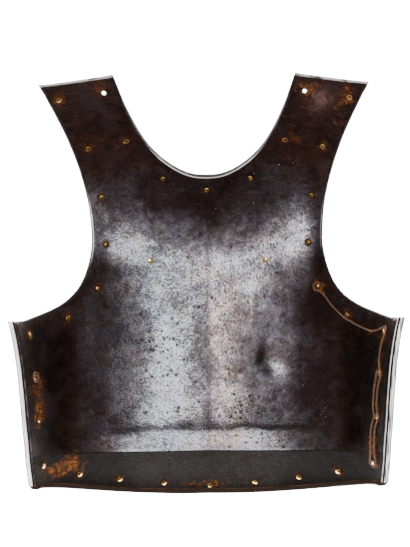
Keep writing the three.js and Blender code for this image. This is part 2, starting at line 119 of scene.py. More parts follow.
# along, ridge height, slope beside the ridge, half width, wall height, lead of the wall end
BODY = tuple(
    Station(*values)
    for values in (
        (-184.6, 57, 0.18, 171.4, 126.5, 6),
        (-176, 45.3, 0.17, 171.8, 127.5, 5),
        (-165, 33.2, 0.16, 172.4, 128.5, 3),
        (-150, 21.5, 0.15, 173.2, 130, 1),
        (-130, 11.8, 0.14, 174.6, 132),
        (-105, 5.5, 0.13, 176.6, 134.5),
        (-85, 4.6, 0.125, 178.4, 136),
        (-70, 4.7, 0.12, 180.6, 137),
        (-50, 5.2, 0.11, 184.6, 138),
        (-25, 5.8, 0.095, 185.6, 139),
        (0, 7.4, 0.075, 185.6, 140),
        (25, 10.5, 0.06, 185.6, 141.5),
        (50, 16.8, 0.05, 185.6, 143.5),
        (75, 27.3, 0.045, 185.6, 146),
        (100, 41.2, 0.04, 185.6, 149),
        (125, 59, 0.03, 185.6, 153),
        (150, 81, 0.02, 185.6, 158),
        (175, 107, 0, 185.6, 164),
        (202, 138, 0, 185.6, 171),
    )
)
WAIST = tuple(
    Station(*values)
    for values in (
        (-228, 33.2, 0.12, 169.6, 118, 22.5),
        (-214.3, 40.8, 0.14, 170.4, 121, 17.5),
        (-200, 49, 0.16, 171, 124, 12),
        (-184.6, 57, 0.18, 171.4, 126.5, 6),
    )
)
# from x, from y, to x, to y
ROWS = tuple(
    Row(*values)
    for values in (
        (92.8, 195, 158.4, 185.4),
        (88.2, 181.5, 152.4, 174),
        (84, 169.5, 146.6, 162),
        (79, 158.4, 141.3, 150.5),
        (73, 146.8, 135.5, 136.6),
        (65.2, 134.6, 130.4, 122),
        (56.4, 124.2, 126.1, 107.5),
        (44.8, 114.2, 122.7, 93.5),
        (30.3, 105.4, 120.2, 81),
        (15, 100, 118.7, 70),
        (0, 98.8, 117.8, 59),
        (0, 78, 117.1, 44),
        (0, 57, 117.4, 30),
        (0, 37, 119.4, 17),
        (0, 18, 122.5, 5),
        (0, 0, 126.9, -6.9),
        (0, -16, 133.2, -18),
        (0, -30, 142.4, -28.1),
        (0, -41, 153.2, -35.7),
        (0, -50, 164.4, -41.1),
        (0, -57, 173.3, -44.9),
        (0, -62, 179.8, -47.4),
        (0, -67, 184.6, -49.1),
        (0, -78, 180.8, -67),
        (0, -93, 178, -87),
        (0, -109, 176.2, -107),
        (0, -125, 174.9, -125),
        (0, -140, 173.9, -141),
        (0, -154, 173.1, -153.5),
        (0, -166, 172.3, -163.5),
        (0, -176, 171.8, -171.8),
        (0, -184.6, 171.4, -179.4),
        (0, -200, 171, -189.3),
        (0, -214.3, 170.4, -198.6),
        (0, -228, 169.8, -207.6),
    )
)
# Turned edges, as steps off the last row or column: on, along the plate, and away, outward.
NECK_RIM = ((0.0, 0.0), (1.5, 0.35), (2.75, 1.35), (3.4, 2.8), (4.1, 6.2))
NECK_RIM_GROWS = (0.25, 0.5, 0.75, 0.95)
ARM_RIM = ((0.0, 0.0), (1.15, 0.25), (2.05, 1.0), (2.55, 2.1), (2.85, 3.8))
SIDE_RIM = ((0.0, 0.0), (2.6, 0.6), (4.4, 1.9), (5.9, 3.9), (6.4, 8.0))
BOTTOM_LIP = ((0.3, 0.2), (0.6, 0.7), (1.6, 1.65), (2.6, 2.5), (3.3, 3.1), (3.6, 3.4))

# Border rivets: name, x, y. Each is one of a mirrored pair.
RIVETS = {
    "arm_end": (143.5, 173.0),
    "arm_side": (119.6, 128.6),
    "neck_side": (81.6, 136.7),
    "neck_low": (46.0, 100.0),
    "armhole_1": (109.4, 80.6),
    "armhole_2": (106.3, 32.0),
    "armhole_3": (115.6, -14.4),
    "armhole_4": (145.0, -44.4),
    "side_1": (176.8, -58.8),
    "side_2": (171.8, -101.2),
    "side_3": (169.0, -144.0),
    "side_4": (165.8, -190.2),
    "waist_1": (133.0, -203.6),
    "waist_2": (93.4, -212.2),
    "waist_3": (48.0, -219.2),
}
RIDGE_RIVETS = {"rivet_neck_centre": (0.0, 89.0), "rivet_waist_centre": (0.0, -223.6)}
# Rivets with a small washer under the hammered end, and its radius.
COLLARS = {"rivet_side_1_left": 4.7, "rivet_armhole_2_right": 4.0}
EMPTY_HOLE = (99.6, 180.3)
EMPTY_HOLE_RADIUS = 1.95
STRAP_STUD = (61.6, 14.5)
STUD_SEED = 40


def border_rivets() -> dict[str, tuple[float, float]]:
    """Where each border rivet is, by its node's name: the mirrored pairs, then the two on the ridge."""
    pairs = {side.node(f"rivet_{n}"): (x * side.value, y) for n, (x, y) in RIVETS.items() for side in Side}
    return pairs | RIDGE_RIVETS


def smoothstep(t: Array) -> Array:
    """A soft step from 0 at t = 0 to 1 at t = 1."""
    c = np.clip(t, 0.0, 1.0)
    return c * c * (3.0 - 2.0 * c)


def rising(value: Array, start: float, way: float) -> Array:
    """A soft step up that starts at a value and takes that much way."""
    return smoothstep((value - start) / way)


def falling(value: Array, end: float, way: float) -> Array:
    """A soft step down that takes that much way and ends at a value."""
    return smoothstep((end - value) / way)


def bell(value: Array, middle: float, half: float) -> Array:
    """1 at the middle, falling off softly by about that much to each side."""
    return np.exp(-(((value - middle) / half) ** 2))


def hermite(p0: Array, m0: Array, p1: Array, m1: Array, t: Array) -> Array:
    """The cubic from p0 to p1 with end slopes m0 and m1."""
    t2, t3 = t * t, t * t * t
    return (2 * t3 - 3 * t2 + 1) * p0 + (t3 - 2 * t2 + t) * m0 + (3 * t2 - 2 * t3) * p1 + (t3 - t2) * m1


def bezier(c: Array, p: Array) -> Array:
    """The cubic Bezier with its four handles along the last axis of c."""
    q = 1.0 - p
    return q**3 * c[..., 0] + 3 * q * q * p * c[..., 1] + 3 * q * p * p * c[..., 2] + p**3 * c[..., 3]


def unit(v: Array) -> Array:
    """Vectors along the last axis, at length 1."""
    return v / np.maximum(np.linalg.norm(v, axis=-1, keepdims=True), 1e-12)


def through(values: Array, breaks: Sequence[int], at: Array) -> Array:
    """Values at fractional rows, on smooth pieces that meet with a corner at each break.

    Args:
        values: one value or vector per row.
        breaks: rows where a corner is kept, the first and last row included.
        at: fractional rows.

    Returns:
        The value or vector at each fractional row.
    """
    out = np.zeros((len(at),) + values.shape[1:])
    for lo, hi in zip(breaks, breaks[1:]):
        part = (at >= lo - TINY) & (at <= hi + TINY)
        i = np.clip(np.floor(at[part]).astype(int), lo, hi - 1)
        t = (at[part] - i).reshape((-1,) + (1,) * (values.ndim - 1))
        before, after = np.maximum(i - 1, lo), np.minimum(i + 2, hi)
        m0 = (values[i + 1] - values[before]) / (i + 1 - before).reshape(t.shape)
        m1 = (values[after] - values[i]) / (after - i).reshape(t.shape)
        out[part] = hermite(values[i], m0, values[i + 1], m1, t)
    return out


class Stations:
    """Smooth section values through a table of stations."""

    KEYS = ("ridge", "keel", "half", "wall", "bow")
    PAST = 0.3  # how far past the table's ends values are carried on, as a share of a step

    def __init__(self, stations: Sequence[Station]) -> None:
        """Keeps each column of the table with its slopes."""
        self.along = np.array([s.along for s in stations])
        n = len(stations)
        lo, hi = np.maximum(np.arange(n) - 1, 0), np.minimum(np.arange(n) + 1, n - 1)
        self.value: dict[str, Array] = {}
        self.slope: dict[str, Array] = {}
        for key in self.KEYS:
            column = np.array([getattr(s, key) for s in stations])
            self.value[key] = column
            self.slope[key] = (column[hi] - column[lo]) / (self.along[hi] - self.along[lo])

    def at(self, key: str, v: Array) -> Array:
        """One section value at places along the ridge.

        Args:
            key: the value's name.
            v: places along the ridge.

        Returns:
            The value at each place.
        """
        i = np.searchsorted(self.along[1:-1], v, side="left")
        d = self.along[i + 1] - self.along[i]
        t = np.clip((v - self.along[i]) / d, -self.PAST, 1 + self.PAST)
        p, m = self.value[key], self.slope[key]
        return hermite(p[i], m[i] * d, p[i + 1], m[i + 1] * d, t)


@dataclass
class PlateForm:
    """The inner face as a height over the plan, and how thick the plate is."""

    thick_at_ridge: float = 5.2
    thick_at_edge: float = 2.6
    wall_lean: float = math.radians(15.0)
    flat_share: float = 0.5
    steep_share: float = 0.52
    body: Stations = field(default_factory=lambda: Stations(BODY))
    waist: Stations = field(default_factory=lambda: Stations(WAIST))

    def _value(self, key: str, v: Array, lower: Array) -> Array:
        """A section value from the body's table, or from the waist's where lower."""
        return np.where(lower, self.waist.at(key, v), self.body.at(key, v))

    def section(self, v: Array, lower: Optional[Array] = None) -> tuple[Array, Array]:
        """The handles of the cross sections at places along the ridge.

        Args:
            v: places along the ridge.
            lower: where the waist's table holds; by itself, under the crease.

        Returns:
            The handles' x and their z.
        """
        v = np.asarray(v, float)
        lower = v < CREASE if lower is None else np.broadcast_to(lower, v.shape)
        ridge, keel, half, wall = (self._value(k, v, lower) for k in Stations.KEYS[:4])
        reach = self.flat_share * half
        drop = self.steep_share * (wall - ridge)
        x = np.stack([0 * v, reach, half - math.tan(self.wall_lean) * drop, half], -1)
        z = np.stack([ridge, ridge + keel * reach, wall - drop, wall], -1)
        return x, z

    @staticmethod
    def place_over(section_x: Array, x: Array) -> Array:
        """The place in a section that lies over x.

        Args:
            section_x: the section's handles across.
            x: plan places across.

        Returns:
            0 at the ridge, 1 at the top of the wall and a little more beyond it.
        """
        beyond, halvings = 1.08, 32
        lo, hi = np.zeros_like(x), np.full_like(x, beyond)
        for _ in range(halvings):
            mid = (lo + hi) / 2
            short = bezier(section_x, mid) < x
            lo, hi = np.where(short, mid, lo), np.where(short, hi, mid)
        return (lo + hi) / 2

    def ridge_of(self, x: Array, y: Array) -> Array:
        """Where the section through a plan point crosses the ridge.

        Args:
            x: plan places across.
            y: plan places along.

        Returns:
            The place along the ridge for each point.
        """
        v = np.array(y, float)
        rounds = 12
        for _ in range(rounds):
            lower = v < CREASE
            v = y - self._value("bow", v, lower) * (x / self._value("half", v, lower)) ** 2
        return v

    @staticmethod
    def from_arm_end(x: Array, y: Array) -> Array:
        """How far plan points lie inside the arms' end edges."""
        first = ROWS[0]
        run = unit(np.array([first.to_x - first.from_x, first.to_y - first.from_y]))
        return (np.abs(x) - first.from_x) * run[1] - (y - first.from_y) * run[0]

    def height(self, x: Array, y: Array) -> Array:
        """The inner face's height over plan points."""
        x = np.abs(np.asarray(x, float))
        sx, sz = self.section(self.ridge_of(x, np.asarray(y, float)))
        return bezier(sz, self.place_over(sx, x))

    def normal(self, x: Array, y: Array) -> Array:
        """The inward normal over plan points.

        Args:
            x: plan places across.
            y: plan places along.

        Returns:
            A vector of length 1 for each point.
        """
        x, y, d = np.asarray(x, float), np.asarray(y, float), 0.4
        dx = (self.height(x + d, y) - self.height(x - d, y)) / (2 * d)
        dy = (self.height(x, y + d) - self.height(x, y - d)) / (2 * d)
        return unit(np.stack([np.where(x == 0, 0.0, -dx), -dy, np.ones_like(dx)], -1))

    def thickness(self, x: Array, y: Array) -> Array:
        """How thick the plate is over plan points."""
        across = falling(np.abs(x), 178.0, 150.0)
        up = falling(y, 110.0, 110.0) * rising(y, -240.0, 70.0)
        return self.thick_at_edge + (self.thick_at_ridge - self.thick_at_edge) * across * up


FORM = PlateForm()


class Placing:
    """Carries points from the plate's own frame, in millimetres, into the row's frame, in metres."""

    def __init__(self) -> None:
        """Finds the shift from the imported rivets, each of which is centred on a known axis."""
        lhs, rhs = np.zeros((3, 3)), np.zeros(3)
        for name, (x, y) in border_rivets().items():
            n = FORM.normal(x, y)
            off = self.middle(name) - np.array([x, y, float(FORM.height(x, y))])
            across = np.eye(3) - np.outer(n, n)
            lhs += across
            rhs += across @ off
        self.shift = np.linalg.solve(lhs, rhs)

    @staticmethod
    def corners(node: str) -> Array:
        """A CAD node's own corner points.

        Args:
            node: the node's name.

        Returns:
            The points, in millimetres in the row's frame.
        """
        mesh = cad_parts[node].data
        flat = np.zeros(len(mesh.vertices) * 3, np.float32)
        mesh.vertices.foreach_get("co", flat)
        return np.unique(np.round(flat.reshape(-1, 3) / MM, 3), axis=0).astype(float)

    def middle(self, node: str) -> Array:
        """The mean of a CAD node's corner points."""
        return self.corners(node).mean(axis=0)

    def out(self, points: Array) -> Array:
        """Points in the row's frame, in metres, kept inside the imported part's box."""
        return np.clip((np.asarray(points, float) + self.shift) * MM, *cad_box)


PLACING = Placing()


class HammerWork:
    """Smooth seeded waves, as a hammered plate has."""

    CELLS = 256  # along each side of the lattice

    def __init__(self, seed: int) -> None:
        """Draws the lattice."""
        self.lattice = np.random.default_rng(seed).uniform(-1.0, 1.0, (self.CELLS, self.CELLS))

    @staticmethod
    def _weights(f: Array) -> list[Array]:
        """The four weights of a cubic spline at a fraction f of a cell."""
        inner = (3 * f**3 - 6 * f**2 + 4) / 6, (-3 * f**3 + 3 * f**2 + 3 * f + 1) / 6
        return [(1 - f) ** 3 / 6, *inner, f**3 / 6]

    def at(self, x: Array, y: Array, size: float, shift: float = 0.0) -> Array:
        """Waves between about -0.6 and 0.6 over plan points.

        Args:
            x: plan places across.
            y: plan places along.
            size: distance between the waves, in millimetres.
            shift: moves the draw, so that one lattice serves several sizes.

        Returns:
            The wave's height at each point.
        """
        middle = self.CELLS // 2
        u, v = x / size + middle + shift, y / size + middle + shift * 0.7
        i, j = np.floor(u).astype(int), np.floor(v).astype(int)
        wu, wv = self._weights(u - i), self._weights(v - j)
        total = np.zeros_like(u)
        for a in range(4):
            for b in range(4):
                total += wu[a] * wv[b] * self.lattice[(i + a) % self.CELLS, (j + b) % self.CELLS]
        return total


@dataclass(frozen=True)
class Patch:
    """An oval place on the plate: its middle, half sizes, turn in degrees and strength."""

    x: float
    y: float
    rx: float
    ry: float
    turn: float = 0.0
    amount: float = 1.0

    def over(self, x: Array, y: Array) -> Array:
        """The patch's soft bell over plan points.

        Args:
            x: plan places across.
            y: plan places along.

        Returns:
            The bell at each point, its amount at the middle.
        """
        a = math.radians(self.turn)
        dx, dy = x - self.x, y - self.y
        u = (dx * math.cos(a) + dy * math.sin(a)) / self.rx
        v = (-dx * math.sin(a) + dy * math.cos(a)) / self.ry
        return self.amount * np.exp(-(u * u + v * v))


def spread(patches: Iterable[Patch], x: Array, y: Array) -> Array:
    """The sum of patches over plan points.

    Args:
        patches: the patches.
        x: plan places across.
        y: plan places along.

    Returns:
        The sum at each point.
    """
    total = np.zeros_like(x)
    for patch in patches:
        total = total + patch.over(x, y)
    return total


def patches(*rows: tuple[float, ...]) -> tuple[Patch, ...]:
    """A patch from each row of values."""
    return tuple(Patch(*row) for row in rows)


# In each row: x, y, half sizes, turn and amount.
# Low forms on the inner face, in millimetres
DENTS = patches(
    (67, -94, 8, 11, -25, 5.2),
    (70, -96, 18, 20, 0, 1.4),
    (66, -112, 8, 7, 20, -0.8),
    (-72, -60, 22, 60, -14, -0.9),
    (-84, 38, 26, 34, 20, -0.8),
    (-50, -112, 24, 50, 12, -0.7),
    (52, -20, 40, 34, 30, -0.7),
    (24, -128, 16, 26, -10, -0.7),
)
# Brighter and duller places on the bare steel, some of them painted highlight and shade
WEAR_AND_SHADE = patches(
    (-45, -100, 20, 46, 6, 0.26),
    (-22, -122, 10, 20, 0, -0.16),
    (-7, -84, 12, 46, 0, -0.20),
    (-62, -72, 12, 30, 8, -0.10),
    # painted highlight: the lit lobe beside the left armhole
    (-80, 34, 18, 20, 20, 0.18),
    (-60, -146, 30, 14, 0, 0.20),
    (-28, -160, 16, 8, 0, -0.24),
    (-30, 60, 22, 16, 0, 0.12),
    (30, 62, 22, 18, 0, 0.14),
    # painted highlight: the lit lobe beside the right armhole
    (96, 50, 16, 30, 0, 0.20),
    (-112, 62, 10, 30, 0, 0.12),
    (0, 82, 40, 22, 0, -0.16),
    (40, -96, 15, 54, 0, -0.32),
    (56, -58, 16, 26, 0, -0.12),
    # the dent's painted shade on its left side and below it, and its painted highlight on the lower right
    (56.5, -88, 6, 12, -14, -0.60),
    (63, -105, 8, 5, 30, -0.40),
    (75, -102, 8, 10, 30, 0.52),
    (-72, 118, 26, 24, 0, 0.12),
    (68, 112, 22, 28, 0, 0.13),
    (88, 12, 16, 20, 0, 0.14),
    (-40, -94, 13, 36, 0, 0.08),
    (-122, -70, 12, 24, 0, 0.10),
    (-38, -112, 10, 22, 0, 0.12),
    (4, -118, 12, 26, 0, -0.13),
    (36, -42, 16, 24, 0, -0.10),
    (-60, 82, 16, 12, 0, 0.10),
    # painted highlight on the steep steel above the waist's fold
    (10, -178, 44, 6, 0, 0.34),
    (-5, -158, 26, 8, 0, -0.12),
    (20, -104, 20, 14, 0, -0.10),
    (114, 60, 8, 50, 0, -0.12),
    (-106, 100, 16, 14, 0, -0.12),
    (80, 141, 12, 9, 0, 0.16),
    (-80, 141, 12, 9, 0, 0.12),
    (-162, -178, 12, 16, 0, -0.7),
    (158, -170, 12, 30, 0, -0.5),
    (20, 100, 14, 10, 0, -0.12),
    (62, -138, 18, 14, 0, -0.12),
    (100, -118, 30, 22, 0, -0.12),
    (24, -138, 14, 12, 0, 0.14),
    (-2, -152, 8, 14, 0, -0.14),
    (118, -40, 22, 26, 0, -0.26),
    (118, 26, 7, 40, 0, -0.30),
    (-110, 28, 9, 26, 0, -0.20),
    (118, 174, 14, 14, 20, 0.42),
    (104, 158, 16, 12, 0, 0.14),
    (-96, 130, 22, 18, 0, 0.10),
)
# Brown rust
RUST = patches(
    (-149, -197, 18, 8, 12, 0.82),
    (-138, -189, 12, 8, 0, 0.5),
    (-170, -108, 5, 15, 0, 0.55),
    (-168, -138, 4, 13, 0, 0.85),
    (-103, 184, 12, 10, 0, 0.42),
    (104, 182, 14, 10, 0, 0.55),
    (136, 152, 16, 18, 0, 0.24),
    (140, 176, 9, 12, 0, 0.5),
    (-118, 138, 16, 10, 0, 0.22),
    (88, 140, 14, 10, 0, 0.40),
    (168, -66, 7, 7, 0, 0.35),
    (163, -178, 5, 16, 0, 0.3),
    (118, -14, 7, 6, 0, 0.4),
    (0, -222, 34, 5, 0, 0.55),
)
SOOT = patches(
    (114, -25, 8, 12, 0, 0.95),
    (121, -44, 7, 12, 10, 0.95),
    (118, -34, 14, 24, 0, 0.35),
    (-8, 80, 26, 9, 0, 0.6),
    (0, 94, 52, 5, 0, 0.45),
    (-100, 96, 16, 10, 0, 0.25),
    (-160, -60, 12, 20, 0, 0.4),
    (-154, -150, 14, 26, 0, 0.45),
    (158, -150, 10, 50, 0, 0.4),
    (-164, -178, 8, 10, 0, 0.5),
)
PITTED = patches(
    (-56, -92, 20, 34, 8, 0.5),
    (-56, -76, 13, 26, 10, 1),
    (-38, -100, 14, 26, 0, 0.9),
    (-24, -142, 10, 14, 0, 0.8),
    (-14, -36, 10, 12, 0, 0.5),
    (30, -144, 22, 10, 0, 0.7),
    (50, -175, 36, 6, 0, 0.6),
    (118, -92, 8, 10, 0, 0.5),
)
# Small brown flecks, right of the ridge above all
FLECKED = patches(
    (22, -60, 18, 70, 0, 0.9),
    (38, -44, 11, 12, 0, 1.2),
    (36, 6, 26, 26, 0, 0.5),
    (36, -142, 24, 14, 0, 0.9),
    (40, 50, 16, 10, 0, 0.6),
)


@dataclass(frozen=True)
class Patina:
    """How bare the plate is, with painted shade and highlight laid into the same number, from 0, brown all
    over, to about 1, bright steel.
    """

    reach_left: float = 146.0
    reach_right: float = 134.0
    reach_over_arms: float = 50.0
    fades_over: float = 98.0
    top: float = 76.0
    top_rises: float = 26.0
    fades_up_over: float = 66.0
    soft: float = 0.10
    brown: float = 0.17
    most: float = 0.95
    brightest: float = 1.14
    soft_end: float = 0.09

    def _least(self, y: Array) -> Array:
        """How bare the browned steel still is: least on the arms."""
        return self.brown + 0.07 * rising(y, 40.0, 40.0) - 0.34 * rising(y, 92.0, 60.0)

    def wear(self, x: Array, y: Array) -> Array:
        """How worn the steel is over plan points, worn in the middle of the chest and brown on the walls and
        arms, with painted shade and highlight laid in: darker on the steep walls, a painted shadow line under
        the ledge, and painted highlight on the ledge and the crest over the waist's fold.

        Args:
            x: plan places across.
            y: plan places along.

        Returns:
            How worn it is, painted shade and highlight included, at each point.
        """
        far = np.abs(x)
        v = FORM.ridge_of(far, y)
        reach = np.where(x < 0, self.reach_left, self.reach_right)
        reach = reach + self.reach_over_arms * rising(y, 2.0, 30.0) - 6.0 * falling(v, -110.0, 50.0)
        across = (reach - far) / self.fades_over
        upward = (self.top + self.top_rises * rising(far, 25.0, 75.0) - y) / self.fades_up_over
        out = -self.soft * np.logaddexp(-across / self.soft, -upward / self.soft)
        # darker on the steep walls: browned steel, and painted shade where the walls face the dark opposite
        # wall
        wall = -0.34 * rising(far, 128.0, 26.0) - 0.24 * rising(far, 148.0, 12.0)
        wall = wall * falling(y, -36.0, 30.0)
        least = self._least(y)
        out = least + wall + self.soft * np.logaddexp(0.0, (out - least) / self.soft)
        out = np.minimum(out + 0.01, self.most) + spread(WEAR_AND_SHADE, x, y)
        # a thin painted shadow line under the ledge's step
        out -= 0.16 * bell(v, -161.5, 2.4) * falling(far, 118.0, 40.0)
        # painted highlight on the ledge and on the crest over the waist's fold, where the steep steel catches
        # the light
        ledge = falling(v, -164.0, 5.0) * falling(far, 136.0, 70.0)
        crest_highlight = falling(v, -181.2, 1.6) * falling(far, 116.0, 60.0)
        out += 0.20 * ledge + 0.26 * crest_highlight
        out -= 0.06 * bell(x, 0.0, 2.0) * falling(y, 70.0, 30.0)
        over = (self.brightest - out) / self.soft_end
        return self.brightest - self.soft_end * np.logaddexp(0.0, over)

    @staticmethod
    def warmth(x: Array, y: Array) -> Array:
        """From -1, blue-grey, to 1, brown-grey: the plate is warmer right of the ridge."""
        warm = bell(x, 20.0, 26.0) * falling(y, 20.0, 60.0)
        cool = bell(x, -52.0, 34.0) * falling(y, 60.0, 60.0)
        return warm - cool + Patch(71.0, -86.0, 8.0, 7.0, amount=1.1).over(x, y)


@dataclass
class Relief:
    """The low forms hammered, knocked and worn into the plate, as a height over the smooth form."""

    ledge_at: float = -165.0
    ledge_tall: float = 3.2
    groove_deep: float = 0.45
    groove_half: float = 1.5
    seed: int = 7

    def __post_init__(self) -> None:
        """Draws the hammer work."""
        self.hammer = HammerWork(self.seed)

    def ledge(self, x: Array, v: Array) -> Array:
        """The flat ledge just over the waist's fold, uneven along its upper edge.

        Args:
            x: plan places across.
            v: where each point's cross section meets the ridge.

        Returns:
            The ledge's height at each point.
        """
        edge = self.ledge_at + 5.0 * self.hammer.at(x, 0 * x, 34.0, 5.0)
        edge = edge + 2.5 * self.hammer.at(x, 0 * x, 12.0, 9.0)
        rise = falling(v, edge + 3.5, 7.0) * rising(v, CREASE, 17.0)
        return self.ledge_tall * falling(np.abs(x), 124.0, 34.0) * rise

    def height(self, x: Array, y: Array) -> Array:
        """Height over the smooth form, towards the wearer.

        Args:
            x: plan places across.
            y: plan places along.

        Returns:
            The height at each point, in millimetres.
        """
        v = FORM.ridge_of(np.abs(x), y)
        out = spread(DENTS, x, y)
        for tall, size, shift in ((0.42, 36.0, 0.0), (0.2, 17.0, 3.0), (0.07, 7.0, 11.0)):
            out += tall * self.hammer.at(x, y, size, shift)
        groove = falling(y, 80.0, 60.0) * rising(y, CREASE, 12.0)
        out -= self.groove_deep * groove * bell(x, 0.0, self.groove_half)
        return out + self.ledge(x, v)


RELIEF = Relief()


# ---- meshes -------------------------------------------------------------------------------------
def new_object(name: str, points: Array, faces: Sequence[Sequence[int]]) -> Piece:
    """An object from points and faces.

    Args:
        name: the object's name.
        points: points in metres in the row's frame.
        faces: the points of each face, in order.

    Returns:
        The object, in the scene.
    """
    mesh = bpy.data.meshes.new(name)
    mesh.from_pydata(np.asarray(points, float).tolist(), [], [list(map(int, f)) for f in faces])
    mesh.validate()
    mesh.update()
    made = bpy.data.objects.new(name, mesh)
    bpy.context.scene.collection.objects.link(made)
    return made


def set_floats(obj: Piece, name: str, values: Array) -> None:
    """Keeps one number per point on the mesh."""
    layer = obj.data.attributes.new(name, "FLOAT", "POINT")
    layer.data.foreach_set("value", np.ascontiguousarray(values, np.float32).ravel())


def set_vectors(obj: Piece, name: str, values: Array) -> None:
    """Keeps one vector per point on the mesh."""
    layer = obj.data.attributes.new(name, "FLOAT_VECTOR", "POINT")
    layer.data.foreach_set("vector", np.ascontiguousarray(values, np.float32).ravel())


def smooth(obj: Piece, sharp_over: float = 60.0) -> None:
    """Shades an object smooth, with edges kept where it turns more sharply than that, in degrees."""
    obj.data.shade_smooth()
    obj.data.set_sharp_from_angle(angle=math.radians(sharp_over))


def seat(x: float, y: float) -> tuple[Array, Array]:
    """Where a rivet sits.

    Args:
        x: its plan place across.
        y: its plan place along.

    Returns:
        Where its axis meets the smooth inner face, and a 3 by 3 turn whose last column is the normal.
    """
    n = FORM.normal(x, y)
    side = unit(np.cross([0.0, 1.0, 0.0], n))
    turn = np.stack([side, np.cross(n, side), n], -1)
    return np.array([x, y, float(FORM.height(x, y))]), turn


def lathe(profile: Sequence[tuple[float, float]], sides: int, uneven: float = 0.0, seed: int = 0) -> Mesh:
    """A turned solid about +Z from a profile of (radius, height), its first and last radius 0.

    Args:
        profile: radius and height, from the lowest point to the highest.
        sides: how many sides a ring has.
        uneven: how far a ring's points may wander, as a share of the radius.
        seed: draws the wander.

    Returns:
        Points and faces.
    """
    rng = np.random.default_rng(seed)
    a = np.linspace(0, 2 * math.pi, sides, endpoint=False)
    wander = 1 + uneven * (np.sin(a * 2 + rng.uniform(0, 6)) * 0.6 + np.sin(a * 3 + rng.uniform(0, 6)) * 0.4)
    points = [np.array([[0, 0, profile[0][1]]])]
    for r, h in profile[1:-1]:
        points.append(np.stack([np.cos(a) * r * wander, np.sin(a) * r * wander, np.full(sides, h)], -1))
    points.append(np.array([[0, 0, profile[-1][1]]]))
    rings = len(profile) - 2
    last = 1 + rings * sides
    faces = []
    for k in range(sides):
        m = (k + 1) % sides
        faces.append((0, 1 + m, 1 + k))
        for i in range(rings - 1):
            b = 1 + i * sides
            faces.append((b + k, b + m, b + sides + m, b + sides + k))
        b = 1 + (rings - 1) * sides
        faces.append((b + k, b + m, last))
    return np.concatenate(points), faces


def tube(points: Array, radius: Array, sides: int, closed: bool = False) -> Mesh:
    """A tube along points.

    Args:
        points: the middle line.
        radius: the radius at each point.
        sides: how many sides it has.
        closed: whether its ends meet; if not, they are capped.

    Returns:
        Points and faces.
    """
    n = len(points)
    nxt = np.roll(points, -1, 0) if closed else np.r_[points[1:], points[-1:]]
    prv = np.roll(points, 1, 0) if closed else np.r_[points[:1], points[:-1]]
    run = unit(nxt - prv)
    up = unit(np.cross(run[0], ASKEW))
    rings = []
    a = np.linspace(0, 2 * math.pi, sides, endpoint=False)
    for i in range(n):
        up = unit(up - run[i] * (up @ run[i]))
        side = np.cross(run[i], up)
        rings.append(points[i] + radius[i] * (np.outer(np.cos(a), up) + np.outer(np.sin(a), side)))
    faces = []
    for i in range(n if closed else n - 1):
        p, q = i * sides, ((i + 1) % n) * sides
        for k in range(sides):
            m = (k + 1) % sides
            faces.append((p + k, p + m, q + m, q + k))
    if not closed:
        faces.append(tuple(range(sides - 1, -1, -1)))
        faces.append(tuple((n - 1) * sides + k for k in range(sides)))
    return np.concatenate(rings), faces


def joined(parts: Sequence[Mesh]) -> Mesh:
    """Several meshes as one.

    Args:
        parts: points and faces of each.

    Returns:
        Points and faces.
    """
    points, faces, base = [], [], 0
    for p, f in parts:
        points.append(p)
        faces += [tuple(base + i for i in face) for face in f]
        base += len(p)
    return np.concatenate(points), faces


# ---- shader groups ------------------------------------------------------------------------------
Band = tuple[float, float, float, float]  # where a soft band starts, is full, begins to fade and is gone


class Kind(Enum):
    """What a shader group's socket carries."""

    NUMBER = "NodeSocketFloat"
    VECTOR = "NodeSocketVector"


